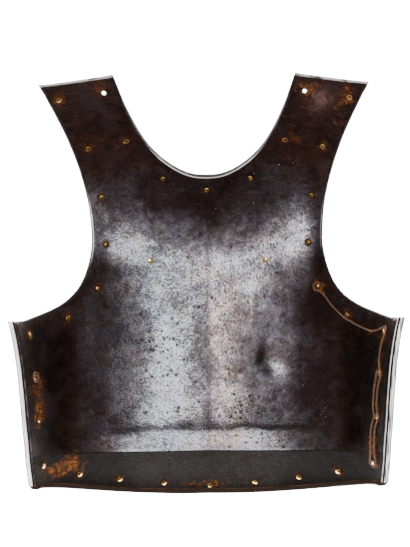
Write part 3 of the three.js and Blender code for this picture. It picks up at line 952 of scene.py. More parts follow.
class Graph:
    """A node tree with short ways to add and link nodes."""

    def __init__(self, tree: Tree) -> None:
        """Works on that tree."""
        self.tree = tree

    def add(self, kind: str, **settings: object) -> Node:
        """A node of a kind.

        Args:
            kind: the node's type.
            settings: values of the node's own properties.

        Returns:
            The new node.
        """
        node = self.tree.nodes.new(kind)
        for key, value in settings.items():
            setattr(node, key, value)
        return node

    def feed(self, socket: Socket, value: object) -> None:
        """Links a socket into another, or sets its value.

        Args:
            socket: the input.
            value: an output to link from, or a plain value.
        """
        if isinstance(value, Socket):
            self.tree.links.new(value, socket)
        else:
            socket.default_value = value

    def fed(self, node: Node, values: dict[object, object], output: object = 0) -> Socket:
        """A node's output, with its inputs fed.

        Args:
            node: the node.
            values: what each of its inputs takes, by number or name.
            output: which output.

        Returns:
            The output.
        """
        for key, value in values.items():
            self.feed(node.inputs[key], value)
        return node.outputs[output]

    def math(self, operation: str, a: object, b: object = 0.0, clamp: bool = False) -> Socket:
        """An operation on two numbers, its outcome kept from 0 to 1 if clamped."""
        return self.fed(self.add("ShaderNodeMath", operation=operation, use_clamp=clamp), {0: a, 1: b})

    def _chain(self, operation: str, values: Sequence[object]) -> Socket:
        """One operation on several numbers, from left to right."""
        out = values[0]
        for value in values[1:]:
            out = self.math(operation, out, value)
        return out

    def plus(self, *values: object) -> Socket:
        """The sum of numbers."""
        return self._chain("ADD", values)

    def times(self, *values: object) -> Socket:
        """The product of numbers."""
        return self._chain("MULTIPLY", values)

    def highest(self, *values: object) -> Socket:
        """The highest of numbers."""
        return self._chain("MAXIMUM", values)

    def swing(self, noise: object, amount: object) -> Socket:
        """A noise's swing to both sides of its middle, by an amount."""
        return self.times(self.math("SUBTRACT", noise, 0.5), amount)

    def ramp(
        self, value: object, low: object, high: object, to_low: float = 0.0, to_high: float = 1.0
    ) -> Socket:
        """A soft step from to_low to to_high as a value goes from low to high."""
        node = self.add("ShaderNodeMapRange", interpolation_type="SMOOTHSTEP")
        return self.fed(node, dict(enumerate((value, low, high, to_low, to_high))))

    def band(self, value: object, edges: Band) -> Socket:
        """1 within a soft band and 0 outside it."""
        start, full, fading, gone = edges
        return self.times(self.ramp(value, start, full), self.ramp(value, gone, fading))

    def mix(self, share: object, a: object, b: object, blend: str = "MIX") -> Socket:
        """Colour a going to b by a share, b being laid on as blend says."""
        node = self.add("ShaderNodeMix", data_type="RGBA", blend_type=blend)
        return self.fed(node, {0: share, 6: a, 7: b}, 2)

    def tinted(self, share: object, colour: object, tint: object) -> Socket:
        """A colour multiplied by a tint, by a share."""
        return self.mix(share, colour, tint, "MULTIPLY")

    def blend(self, share: object, a: object, b: object) -> Socket:
        """Number a going to b by a share."""
        return self.fed(self.add("ShaderNodeMix", data_type="FLOAT"), {0: share, 2: a, 3: b})

    def noise(
        self, place: object, scale: object, detail: float = 3.0, rough: float = 0.55, warp: float = 0.0
    ) -> Socket:
        """Cloudy noise from 0 to 1, warp being how far it is stirred."""
        values = {"Vector": place, "Scale": scale, "Detail": detail, "Roughness": rough, "Distortion": warp}
        return self.fed(self.add("ShaderNodeTexNoise"), values, "Fac")

    def stirred(self, place: Socket, scale: object, way: object) -> Socket:
        """A place moved about by noise, up to that way along each axis."""
        stir = self.fed(self.add("ShaderNodeTexNoise"), {"Vector": place, "Scale": scale}, "Color")
        moved = self.add("ShaderNodeVectorMath", operation="MULTIPLY_ADD")
        return self.fed(moved, {0: stir, 1: way, 2: place})

    def stretched(self, place: object, scales: Sequence[object]) -> Socket:
        """A place with each of its three numbers scaled.

        Args:
            place: the place.
            scales: a factor for each number; 1 leaves it alone.

        Returns:
            The scaled place.
        """
        split = self.add("ShaderNodeSeparateXYZ")
        self.feed(split.inputs[0], place)
        join = self.add("ShaderNodeCombineXYZ")
        for k, scale in enumerate(scales):
            self.feed(join.inputs[k], split.outputs[k] if scale == 1 else self.times(split.outputs[k], scale))
        return join.outputs[0]

    def attribute(self, name: str) -> Socket:
        """A number kept on the mesh's points."""
        return self.add("ShaderNodeAttribute", attribute_name=name).outputs["Fac"]

    def stain(self, name: str, place: Socket, scale: float, ragged: float, soft: float) -> Socket:
        """The mask of a ragged stain, from a number kept on the mesh's points."""
        values = {"Field": self.attribute(name), "Place": place, "Scale": scale}
        return self.group(EFFECTS.ragged, **values, Ragged=ragged, Soft=soft).outputs[0]

    def group(self, tree: Tree, **values: object) -> Node:
        """A shared effect with its own values; an underscore stands for a space in a socket's name."""
        node = self.add("ShaderNodeGroup", node_tree=tree)
        for key, value in values.items():
            self.feed(node.inputs[key.replace("_", " ")], value)
        return node


def new_group(
    name: str, inputs: dict[str, object], outputs: Sequence[str]
) -> tuple[Graph, Node, Node]:
    """An empty shader group.

    Args:
        name: the group's name.
        inputs: socket name to the number it has by itself, or to its kind where it has none.
        outputs: names of the numbers it gives out.

    Returns:
        The group's graph, its input node and its output node.
    """
    tree = bpy.data.node_groups.new(name, "ShaderNodeTree")
    for key, value in inputs.items():
        kind = value if isinstance(value, Kind) else Kind.NUMBER
        socket = tree.interface.new_socket(key, in_out="INPUT", socket_type=kind.value)
        if kind is Kind.NUMBER:
            socket.default_value = value
    for key in outputs:
        tree.interface.new_socket(key, in_out="OUTPUT", socket_type=Kind.NUMBER.value)
    graph = Graph(tree)
    return graph, graph.add("NodeGroupInput"), graph.add("NodeGroupOutput")


class Effects:
    """The shader groups that several finishes share, each built once."""

    def __init__(self) -> None:
        """Builds the groups."""
        self.grain = self._grain()
        self.pits = self._pits()
        self.ragged = self._ragged()
        self.streaks = self._streaks()
        self.ring = self._ring()

    @staticmethod
    def _grain() -> Tree:
        """Fine hammered grain, drawn out along one way, as a light and dark speckle.

        Returns:
            The group.
        """
        inputs = {"Place": Kind.VECTOR, "Scale": 500.0, "Across": 1.0, "Along": 1.0}
        g, i, o = new_group("Grain", inputs, ("Speckle",))
        scale = i.outputs["Scale"]
        place = g.stretched(i.outputs["Place"], (i.outputs["Across"], i.outputs["Along"], 1))
        coarse = g.noise(place, scale, 3.0, 0.6, 0.35)
        fine = g.noise(place, g.times(scale, 2.4), 2.0)
        height = g.plus(g.times(coarse, 0.7), g.times(fine, 0.3))
        cells = g.add("ShaderNodeTexVoronoi", feature="DISTANCE_TO_EDGE")
        values = {"Vector": g.stirred(place, scale, (0.003, 0.003, 0.003)), "Scale": g.times(scale, 0.72)}
        crease = g.ramp(g.fed(cells, values, "Distance"), 0.22, 0.02)
        speckle = g.times(g.math("SUBTRACT", height, 0.48), 6.2)
        g.feed(o.inputs["Speckle"], g.math("SUBTRACT", speckle, g.times(crease, 0.3)))
        return g.tree

    @staticmethod
    def _pits() -> Tree:
        """Round rust pits, some cells with one and some without.

        Returns:
            The group.
        """
        inputs = {"Place": Kind.VECTOR, "Scale": 200.0, "Share": 0.5, "Radius": 0.25}
        g, i, o = new_group("Pits", inputs, ("Mask",))
        place, scale = i.outputs["Place"], i.outputs["Scale"]
        step = g.add("ShaderNodeCombineXYZ")
        for k in range(3):
            g.feed(step.inputs[k], g.math("DIVIDE", 0.22, scale))
        cells = g.add("ShaderNodeTexVoronoi", feature="F1")
        moved = g.stirred(place, g.times(scale, 3.0), step.outputs[0])
        g.fed(cells, {"Vector": moved, "Scale": scale})
        draw = g.add("ShaderNodeSeparateColor")
        g.feed(draw.inputs[0], cells.outputs["Color"])
        size = g.times(i.outputs["Radius"], g.plus(g.times(draw.outputs[1], 0.8), 0.45))
        within = g.ramp(g.math("SUBTRACT", cells.outputs["Distance"], size), 0.05, -0.05)
        has = g.math("LESS_THAN", draw.outputs[0], i.outputs["Share"])
        g.feed(o.inputs["Mask"], g.times(within, has))
        return g.tree

    @staticmethod
    def _ragged() -> Tree:
        """A smooth field made into a stain with a ragged edge.

        Returns:
            The group.
        """
        inputs = {"Field": 0.0, "Place": Kind.VECTOR, "Scale": 60.0, "Ragged": 0.6, "Soft": 0.3}
        g, i, o = new_group("Ragged stain", inputs, ("Mask",))
        cloud = g.noise(i.outputs["Place"], i.outputs["Scale"], 6.0, 0.62, 0.4)
        value = g.plus(i.outputs["Field"], g.times(g.swing(cloud, i.outputs["Ragged"]), 2.0))
        low = g.math("SUBTRACT", 0.5, i.outputs["Soft"])
        high = g.plus(0.5, i.outputs["Soft"])
        g.feed(o.inputs["Mask"], g.ramp(value, low, high))
        return g.tree

    @staticmethod
    def _streaks() -> Tree:
        """Fine lines drawn out along y, as a file or cloth leaves.

        Returns:
            The group.
        """
        g, i, o = new_group("Streaks", {"Place": Kind.VECTOR, "Scale": 900.0, "Stretch": 0.03}, ("Value",))
        place = g.stretched(i.outputs["Place"], (1, i.outputs["Stretch"], 0.3))
        g.feed(o.inputs["Value"], g.noise(place, i.outputs["Scale"], 2.0))
        return g.tree

    @staticmethod
    def _ring() -> Tree:
        """A disc and its soft halo about the end of an offset, in millimetres.

        Returns:
            The group.
        """
        g, i, o = new_group("Ring", {"Offset": Kind.VECTOR, "Radius": 3.4, "Halo": 7.0}, ("Disc", "Halo"))
        length = g.add("ShaderNodeVectorMath", operation="LENGTH")
        g.feed(length.inputs[0], i.outputs["Offset"])
        far, radius = length.outputs["Value"], i.outputs["Radius"]
        g.feed(o.inputs["Disc"], g.ramp(far, g.plus(radius, 0.5), g.math("SUBTRACT", radius, 0.5)))
        g.feed(o.inputs["Halo"], g.ramp(far, i.outputs["Halo"], radius))
        return g.tree


EFFECTS = Effects()


def new_material(name: str) -> tuple[Graph, Node, Socket]:
    """A material with one Principled shader.

    Args:
        name: the material's name.

    Returns:
        Its graph, the shader node, and the object coordinates in metres.
    """
    material = bpy.data.materials.new(name)
    material.use_nodes = True
    graph = Graph(material.node_tree)
    shader = material.node_tree.nodes["Principled BSDF"]
    place = graph.add("ShaderNodeTexCoord").outputs["Object"]
    return graph, shader, place


def bump(g: Graph, height: object, strength: float, distance: float, normal: object = None) -> Socket:
    """A bumped normal.

    Args:
        g: the material's graph.
        height: the height.
        strength: how much of it shows.
        distance: how tall a height of 1 is, in metres.
        normal: the normal it is laid over, if not the face's own.

    Returns:
        The normal.
    """
    node = g.add("ShaderNodeBump")
    node.inputs["Strength"].default_value = strength
    node.inputs["Distance"].default_value = distance
    g.feed(node.inputs["Height"], height)
    if normal is not None:
        g.feed(node.inputs["Normal"], normal)
    return node.outputs[0]


Colour = tuple[float, float, float, float]


@dataclass
class SteelFields:
    """What the parts of the steel's finish share: the graph, the place on it and its uneven tones."""

    g: Graph
    place: Socket
    right: Socket
    speckle: Socket
    tone: Socket
    cloud: Socket
    mottle: Socket
    wear: Socket
    bare: Socket
    from_ridge: Socket


@dataclass(frozen=True)
class SteelFinish:
    """Forged steel: bare and grained in the middle, browned towards the sides, polished outside; the inner
    face also carries painted highlight and shade.
    """

    name: str = "Plate steel"
    wear: tuple[tuple[float, Colour], ...] = (
        (-0.3, (0.0035, 0.0016, 0.0012, 1.0)),
        (0.0, (0.013, 0.0062, 0.0048, 1.0)),
        (0.2, (0.030, 0.019, 0.019, 1.0)),
        (0.45, (0.088, 0.073, 0.080, 1.0)),
        (0.68, (0.235, 0.210, 0.230, 1.0)),
        (0.86, (0.40, 0.375, 0.40, 1.0)),
        (1.05, (0.58, 0.565, 0.60, 1.0)),
        (1.3, (0.80, 0.81, 0.86, 1.0)),
        (1.6, (1.0, 1.0, 1.0, 1.0)),
    )
    dark: Colour = (0.006, 0.0035, 0.003, 1.0)
    brown: Colour = (0.030, 0.011, 0.006, 1.0)
    purple: Colour = (0.030, 0.017, 0.020, 1.0)
    rust: Colour = (0.170, 0.058, 0.012, 1.0)
    deep_rust: Colour = (0.032, 0.0105, 0.0035, 1.0)
    rivet_rust: Colour = (0.072, 0.022, 0.005, 1.0)
    waist: Colour = (0.0150, 0.0128, 0.0114, 1.0)
    waist_deep: Colour = (0.0095, 0.007, 0.0055, 1.0)
    waist_pale: Colour = (0.024, 0.0225, 0.021, 1.0)
    # painted shade at the waist band's sides
    waist_sides: Colour = (0.004, 0.0024, 0.0018, 1.0)
    ruddy: Colour = (1.10, 0.96, 0.90, 1.0)
    bluish: Colour = (0.92, 0.97, 1.07, 1.0)
    arms_ruddy: Colour = (1.2, 0.66, 0.52, 1.0)
    warm: Colour = (1.0, 0.90, 0.84, 1.0)
    cool: Colour = (0.91, 0.97, 1.0, 1.0)
    held_back: Colour = (0.46, 0.46, 0.46, 1.0)
    glint: Colour = (0.5, 0.5, 0.52, 1.0)
    ridge_red: Colour = (0.17, 0.10, 0.092, 1.0)
    pit: Colour = (0.040, 0.046, 0.038, 1.0)
    fleck: Colour = (0.085, 0.060, 0.050, 1.0)
    flecked_ground: Colour = (0.17, 0.12, 0.095, 1.0)
    # the side lip's polished steel, its whiteness partly a painted reflection
    lip: Colour = (0.97, 0.97, 0.98, 1.0)
    edge: Colour = (0.30, 0.28, 0.27, 1.0)
    # a painted highlight on the side lip's bend, dimmer on the left, and a painted shadow along its outer
    # edge
    side_line_left: Colour = (0.16, 0.11, 0.10, 1.0)
    side_line_right: Colour = (0.50, 0.46, 0.42, 1.0)
    side_edge: Colour = (0.012, 0.010, 0.010, 1.0)
    neck_edge: Colour = (0.010, 0.009, 0.0085, 1.0)
    arm_fold_rubbed: Colour = (0.03, 0.025, 0.025, 1.0)
    arm_edge: Colour = (0.009, 0.0065, 0.0055, 1.0)
    arm_edge_rubbed: Colour = (0.04, 0.036, 0.036, 1.0)
    bottom_edge: Colour = (0.017, 0.011, 0.0085, 1.0)
    bottom_rust: Colour = (0.09, 0.030, 0.010, 1.0)
    arm_end: Colour = (0.30, 0.27, 0.26, 1.0)
    outside: Colour = (0.34, 0.34, 0.355, 1.0)
    outside_dull: Colour = (0.20, 0.195, 0.20, 1.0)

    grain_scale: float = 520.0
    tone_swing: float = 0.52
    cloud_swing: float = 0.62
    mottle_swing: float = 0.30
    stain_share: float = 0.9
    rough_where_dull: float = 0.62
    rough_lip: float = 0.28
    specular: float = 0.02
    # where the painted shade and the painted highlight on the bend lie across the side's lip
    side_strip: Band = (0.46, 0.52, 0.66, 0.72)
    side_line: Band = (0.33, 0.40, 0.46, 0.52)
    neck_line: Band = (0.25, 0.36, 0.44, 0.54)
    arm_line: Band = (0.2, 0.3, 0.45, 0.6)
    bottom_line: Band = (0.0, 0.12, 0.2, 0.35)

    def _fields(self, g: Graph, place: Socket) -> SteelFields:
        """The uneven tones that the steel's colours follow.

        Args:
            g: the material's graph.
            place: the surface's place.

        Returns:
            The shared sockets.
        """
        right = g.attribute("right")
        drawn = g.group(EFFECTS.grain, Place=place, Scale=self.grain_scale, Across=0.8, Along=1.15)
        down = g.group(EFFECTS.grain, Place=place, Scale=self.grain_scale, Across=1.15, Along=0.7)
        speckle = g.blend(right, drawn.outputs["Speckle"], down.outputs["Speckle"])
        tone = g.noise(place, 34.0, 3.0, 0.45, 0.4)
        cloud = g.noise(place, 105.0, 5.0, 0.5, 0.7)
        mottle = g.noise(place, 210.0, 3.0, 0.5, 0.9)
        wear = g.attribute("wear")
        swings = (cloud, self.cloud_swing), (tone, self.tone_swing), (mottle, self.mottle_swing)
        uneven = g.plus(*(g.swing(noise, amount) for noise, amount in swings))
        # bare: how worn the steel is plus its uneven tones, painted shade and highlight included
        bare = g.plus(wear, uneven, g.times(speckle, g.ramp(wear, 0.5, 1.15, 0.10, 0.36)))
        from_ridge = g.attribute("from_ridge")
        return SteelFields(g, place, right, speckle, tone, cloud, mottle, wear, bare, from_ridge)

    def _worn(self, g: Graph, value: object) -> Socket:
        """The colour of the steel by how worn it is, painted shade and highlight included.

        Args:
            g: the material's graph.
            value: how worn it is, with its painted shade and highlight.

        Returns:
            The colour.
        """
        low, high = self.wear[0][0], self.wear[-1][0]
        scaled = g.math("DIVIDE", g.math("SUBTRACT", value, low), high - low, True)
        ramp = g.add("ShaderNodeValToRGB")
        stops = ramp.color_ramp.elements
        while len(stops) < len(self.wear):
            stops.new(0.5)
        for stop, (at, colour) in zip(stops, self.wear):
            stop.position, stop.color = (at - low) / (high - low), colour
        g.feed(ramp.inputs[0], scaled)
        return ramp.outputs[0]

    def _ground(self, f: SteelFields) -> Socket:
        """The steel itself, bare or browned, with the ridge's reddish line.

        Args:
            f: the shared sockets.

        Returns:
            The colour.
        """
        g = f.g
        colour = self._worn(g, f.bare)
        tint = g.noise(f.place, 62.0, 3.0, 0.5, 0.6)
        colour = g.tinted(g.ramp(tint, 0.52, 0.68, 0.0, 0.8), colour, self.ruddy)
        colour = g.tinted(g.ramp(tint, 0.48, 0.32, 0.0, 0.8), colour, self.bluish)
        colour = g.tinted(g.ramp(g.attribute("arm_end"), 110.0, 60.0, 0.0, 0.8), colour, self.arms_ruddy)
        warmth = g.attribute("warmth")
        colour = g.tinted(g.ramp(warmth, 0.0, 1.0), colour, self.warm)
        colour = g.tinted(g.ramp(warmth, 0.0, -1.0), colour, self.cool)
        browned = g.ramp(f.wear, 0.55, 0.1)
        colour = g.mix(g.times(g.ramp(f.cloud, 0.5, 0.66, 0.0, 0.7), browned), colour, self.brown)
        colour = g.mix(g.times(g.ramp(f.tone, 0.46, 0.36, 0.0, 0.5), browned), colour, self.purple)
        glint = g.group(EFFECTS.pits, Place=f.place, Scale=420.0, Share=0.010, Radius=0.30)
        colour = g.mix(g.times(glint.outputs[0], g.ramp(f.wear, -0.1, 0.3, 0.0, 0.45)), colour, self.glint)
        uneven = g.times(g.ramp(f.wear, 0.3, 0.6, 0.0, 0.62), g.ramp(f.cloud, 0.35, 0.6, 0.2, 0.8))
        return g.mix(g.times(g.ramp(f.from_ridge, 3.4, 0.2), uneven), colour, self.ridge_red)

    def _waist_band(self, f: SteelFields, colour: Socket) -> tuple[Socket, Socket]:
        """The plain dark band that folds out at the waist, with painted shade towards the sides.

        Args:
            f: shared sockets.
            colour: the colour so far.

        Returns:
            The colour with the band, and the band's mask.
        """
        g = f.g
        band = g.stain("waist", f.place, 50.0, 0.06, 0.12)
        plain = g.mix(g.ramp(f.cloud, 0.35, 0.68), self.waist, self.waist_deep)
        plain = g.mix(g.times(g.ramp(f.mottle, 0.5, 0.7), 0.4), plain, self.waist_pale)
        # painted shade: darker towards the sides, where the band turns from the light
        plain = g.mix(g.ramp(f.from_ridge, 70.0, 165.0, 0.0, 0.8), plain, self.waist_sides)
        return g.mix(band, colour, plain), band

    def _spots(self, f: SteelFields, colour: Socket) -> tuple[Socket, Socket]:
        """Rust pits, and small brown flecks on a ruddy ground.

        Args:
            f: shared sockets.
            colour: the colour so far.

        Returns:
            The colour with the spots, and a mask of the pits.
        """
        g = f.g
        pitted, flecked = g.attribute("pitted"), g.attribute("flecked")
        pits = g.group(EFFECTS.pits, Place=f.place, Scale=180.0, Share=g.times(pitted, 0.9), Radius=0.33)
        specks = g.group(EFFECTS.pits, Place=f.place, Scale=290.0, Share=g.times(pitted, 0.28), Radius=0.32)
        holes = g.highest(pits.outputs[0], g.times(specks.outputs[0], 0.8))
        drawn_out = g.stretched(f.place, (1, 0.6, 1))
        share = g.times(flecked, 0.42)
        flecks = g.group(EFFECTS.pits, Place=drawn_out, Scale=280.0, Share=share, Radius=0.36)
        ruddy = g.ramp(g.plus(flecked, g.math("SUBTRACT", f.mottle, 0.5)), 0.75, 1.25, 0.0, 0.55)
        colour = g.mix(ruddy, colour, self.flecked_ground)
        colour = g.mix(g.times(flecks.outputs[0], 0.8), colour, self.fleck)
        return g.mix(g.times(holes, 0.9), colour, self.pit), holes

    def _stains(self, f: SteelFields, colour: Socket) -> tuple[Socket, Socket, Socket]:
        """Soot, the lining wire's painted shadow on the plate, and rust.

        Args:
            f: shared sockets.
            colour: the colour so far.

        Returns:
            The stained colour, the mask of the dark stains with the wire's painted shadow, and the rust's.
        """
        g = f.g
        soot = g.stain("soot", f.place, 90.0, 0.5, 0.28)
        colour = g.mix(g.times(soot, self.stain_share), colour, self.dark)
        rust = g.stain("rust", f.place, 140.0, 0.75, 0.30)
        rusty = g.mix(g.ramp(f.mottle, 0.40, 0.62), self.deep_rust, self.rust)
        rusty = g.mix(g.ramp(f.speckle, -0.2, -0.9, 0.0, 0.6), rusty, self.dark)
        return g.mix(g.times(rust, self.stain_share), colour, rusty), soot, rust

    def _rivet_rings(self, f: SteelFields, colour: Socket) -> Socket:
        """A dark line of painted shade round the foot of each hammered end, and a rusty halo round each
        rivet.

        Args:
            f: shared sockets.
            colour: the colour so far.

        Returns:
            The colour with the rings.
        """
        g = f.g
        offset = g.add("ShaderNodeAttribute", attribute_name="rivet_offset").outputs["Vector"]
        ring = g.group(EFFECTS.ring, Offset=offset, Radius=3.9, Halo=9.0)
        halo = g.times(g.math("POWER", ring.outputs["Halo"], 1.6), g.ramp(f.mottle, 0.36, 0.62, 0.0, 0.8))
        colour = g.mix(g.times(halo, g.attribute("rivet_rust")), colour, self.rivet_rust)
        # painted shade round the foot of the hammered end
        return g.mix(g.times(ring.outputs["Disc"], g.ramp(f.wear, 0.3, 0.9, 0.9, 0.55)), colour, self.dark)

    def _side_lip(self, f: SteelFields, colour: Socket) -> tuple[Socket, Socket]:
        """The sides' turned edge: a dark band of painted shade between a thin painted highlight on the bend
        and a polished band, made whiter on the left as a painted reflection, with a painted shadow along the
        outer edge.

        Args:
            f: shared sockets.
            colour: the colour so far.

        Returns:
            The colour with the edge, and the mask of its painted shade.
        """
        g = f.g
        streaks = g.group(EFFECTS.streaks, Place=f.place, Scale=620.0, Stretch=0.02).outputs[0]
        lip = g.attribute("side_lip")
        # painted shade: a dark reflection where the turned edge faces the dark wall
        strip = g.band(lip, self.side_strip)
        colour = g.mix(strip, colour, self.dark)
        broken = g.blend(f.right, g.ramp(f.cloud, 0.4, 0.6, 0.1, 0.5), g.ramp(f.cloud, 0.3, 0.55, 0.55, 1.0))
        # a thin painted highlight along the bend
        line = g.times(g.band(lip, self.side_line), broken)
        colour = g.mix(line, colour, g.mix(f.right, self.side_line_left, self.side_line_right))
        # polished steel, made whiter on the left than on the right as a painted reflection
        worn = g.blend(f.right, g.ramp(streaks, 0.3, 0.45, 0.8, 1.0), g.ramp(streaks, 0.42, 0.6, 0.12, 1.0))
        colour = g.mix(g.times(g.ramp(lip, 0.68, 0.74), worn), colour, self.lip)
        # painted shadow along the outer edge
        return g.mix(g.ramp(lip, 0.88, 0.95), colour, self.side_edge), strip

    def _neck_lip(self, f: SteelFields, colour: Socket) -> tuple[Socket, Socket, Socket]:
        """The neck's turned edge: dark, with a worn line near the ridge.

        Args:
            f: shared sockets.
            colour: the colour so far.

        Returns:
            The colour with the edge, where the edge starts, and the worn line.
        """
        g = f.g
        neck = g.attribute("neck_lip")
        starts = g.ramp(neck, 0.0, 0.2)
        line = g.times(g.band(neck, self.neck_line), g.ramp(f.from_ridge, 66.0, 44.0))
        colour = g.mix(line, g.mix(starts, colour, self.dark), self.edge)
        return g.mix(g.ramp(neck, 0.50, 0.58), colour, self.neck_edge), starts, line

    def _arm_lip(self, f: SteelFields, colour: Socket) -> tuple[Socket, Socket, Socket]:
        """The armholes' turned edge: dark, with a line where it is rubbed.

        Args:
            f: shared sockets.
            colour: the colour so far.

        Returns:
            The colour with the edge, where the edge starts, and the rubbed line.
        """
        g = f.g
        arm = g.attribute("arm_lip")
        starts = g.ramp(arm, 0.0, 0.2)
        rubbed = g.ramp(f.wear, 0.2, 0.8)
        line = g.times(g.band(arm, self.arm_line), rubbed)
        colour = g.mix(starts, colour, g.mix(rubbed, self.dark, self.arm_fold_rubbed))
        colour = g.mix(line, colour, self.edge)
        edge = g.mix(rubbed, self.arm_edge, self.arm_edge_rubbed)
        return g.mix(g.ramp(arm, 0.5, 0.7), colour, edge), starts, line

    def _bottom_lip(self, f: SteelFields, colour: Socket) -> Socket:
        """The waist's cut edge, with rust in its fold, and the arms' worn ends.

        Args:
            f: shared sockets.
            colour: the colour so far.

        Returns:
            The colour with the edges.
        """
        g = f.g
        low = g.attribute("bottom_lip")
        colour = g.mix(g.ramp(low, 0.05, 0.3), colour, self.bottom_edge)
        fold = g.times(g.band(low, self.bottom_line), g.ramp(f.cloud, 0.4, 0.6, 0.2, 1.0))
        colour = g.mix(fold, colour, self.bottom_rust)
        end = g.times(g.ramp(g.attribute("arm_end"), 1.6, 0.9), g.ramp(f.cloud, 0.36, 0.5, 0.1, 0.8))
        return g.mix(end, colour, self.arm_end)

    def _lips(self, f: SteelFields, colour: Socket) -> tuple[Socket, Socket]:
        """All the turned and cut edges.

        Args:
            f: shared sockets.
            colour: the colour so far.

        Returns:
            The colour with the edges, and a mask of their dark parts.
        """
        g = f.g
        colour, strip = self._side_lip(f, colour)
        colour, neck, neck_line = self._neck_lip(f, colour)
        colour, arm, arm_line = self._arm_lip(f, colour)
        colour = self._bottom_lip(f, colour)
        bright = g.times(g.plus(neck_line, arm_line), 0.7)
        dark = g.math("SUBTRACT", g.highest(neck, arm), bright)
        return colour, g.highest(dark, g.highest(strip, g.ramp(g.attribute("bottom_lip"), 0.0, 0.2)))

    def build(self) -> Material:
        """Makes the material.

        Returns:
            The material.
        """
        g, shader, place = new_material(self.name)
        f = self._fields(g, place)
        colour, waist = self._waist_band(f, self._ground(f))
        colour, holes = self._spots(f, colour)
        colour = g.tinted(g.ramp(f.bare, 1.1, 0.75), colour, self.held_back)
        colour, soot, rust = self._stains(f, colour)
        colour, edges = self._lips(f, self._rivet_rings(f, colour))
        inside = g.ramp(g.attribute("skin"), 0.4, 0.6)
        polish = g.mix(g.ramp(f.tone, 0.45, 0.8), self.outside, self.outside_dull)
        g.feed(shader.inputs["Base Color"], g.mix(inside, polish, colour))

        dull = g.highest(g.times(rust, self.stain_share), holes, edges, waist, soot)
        metal = g.times(g.math("SUBTRACT", 1.0, dull), g.ramp(f.bare, 0.05, 0.55, 0.35, 1.0))
        lip = g.times(g.ramp(g.attribute("side_lip"), 0.66, 0.72), inside)
        g.feed(shader.inputs["Metallic"], g.blend(inside, 1.0, g.highest(metal, lip)))
        rough = g.plus(g.ramp(f.bare, 0.0, 0.9, 0.46, 0.33), g.swing(f.cloud, 0.2))
        rough = g.blend(lip, g.highest(rough, g.times(dull, self.rough_where_dull)), self.rough_lip)
        g.feed(shader.inputs["Roughness"], g.blend(inside, g.ramp(f.tone, 0.2, 0.9, 0.16, 0.34), rough))
        shader.inputs["Specular IOR Level"].default_value = self.specular

        height = g.math("SUBTRACT", g.times(f.speckle, 0.5), g.times(holes, 1.2))
        height = g.plus(height, g.times(rust, g.noise(place, 700.0)))
        normal = bump(g, g.times(height, inside), 1.0, 0.00075)
        normal = bump(g, f.mottle, 0.6, 0.0016, normal)
        g.feed(shader.inputs["Normal"], bump(g, f.cloud, 0.35, 0.0025, normal))
        return bpy.data.materials[self.name]


@dataclass(frozen=True)
class BrassFinish:
    """Brass, darker towards the foot of each end."""

    name: str = "Rivet brass"
    clean: Colour = (0.54, 0.36, 0.12, 1.0)
    aged: Colour = (0.18, 0.09, 0.024, 1.0)
    dull: Colour = (0.17, 0.082, 0.028, 1.0)
    dirt: Colour = (0.035, 0.018, 0.006, 1.0)
    grime: float = 0.95
    rough: float = 0.27
    rough_dirt: float = 0.65

    def build(self) -> Material:
        """Makes the material.

        Returns:
            The material.
        """
        g, shader, place = new_material(self.name)
        cloud = g.noise(place, 420.0, 4.0, 0.6)
        low = g.stain("low", place, 600.0, 0.4, 0.25)
        colour = g.mix(g.ramp(cloud, 0.38, 0.58), self.clean, self.aged)
        colour = g.mix(g.attribute("aged"), colour, self.dull)
        # darker towards the foot of each end
        colour = g.mix(g.times(low, self.grime), colour, self.dirt)
        g.feed(shader.inputs["Base Color"], colour)
        shader.inputs["Metallic"].default_value = 1.0
        g.feed(shader.inputs["Roughness"], g.blend(low, self.rough, self.rough_dirt))
        g.feed(shader.inputs["Normal"], bump(g, cloud, 0.4, 0.00025))
        return bpy.data.materials[self.name]


@dataclass(frozen=True)
class WireFinish:
    """Thin iron wire with rust on it."""

    name: str = "Lining wire"
    bright: Colour = (0.28, 0.165, 0.085, 1.0)
    rusty: Colour = (0.054, 0.020, 0.0075, 1.0)
    rough_bright: float = 0.35
    rough_rusty: float = 0.8

    def build(self) -> Material:
        """Makes the material.

        Returns:
            The material.
        """
        g, shader, place = new_material(self.name)
        bare = g.ramp(g.noise(place, 260.0, 5.0, 0.7), 0.58, 0.7)
        g.feed(shader.inputs["Base Color"], g.mix(bare, self.rusty, self.bright))
        g.feed(shader.inputs["Metallic"], g.times(bare, 0.9))
        g.feed(shader.inputs["Roughness"], g.blend(bare, self.rough_rusty, self.rough_bright))
        g.feed(shader.inputs["Normal"], bump(g, g.noise(place, 1500.0), 0.5, 0.0003))
        return bpy.data.materials[self.name]


@dataclass(frozen=True)
class TableFinish:
    """A plain white table top that throws little light back under the plate."""

    name: str = "Table top"
    white: Colour = (0.93, 0.93, 0.935, 1.0)
    thrown: Colour = (0.24, 0.24, 0.24, 1.0)
    rough: float = 0.9

    def build(self) -> Material:
        """Makes the material.

        Returns:
            The material.
        """
        g, shader, _ = new_material(self.name)
        spilled = g.add("ShaderNodeLightPath").outputs["Is Diffuse Ray"]
        g.feed(shader.inputs["Base Color"], g.mix(spilled, self.white, self.thrown))
        shader.inputs["Roughness"].default_value = self.rough
        shader.inputs["Specular IOR Level"].default_value = 0.0
        return bpy.data.materials[self.name]


Shell = tuple[Array, Array, dict[str, Array]]  # points, faces and point values


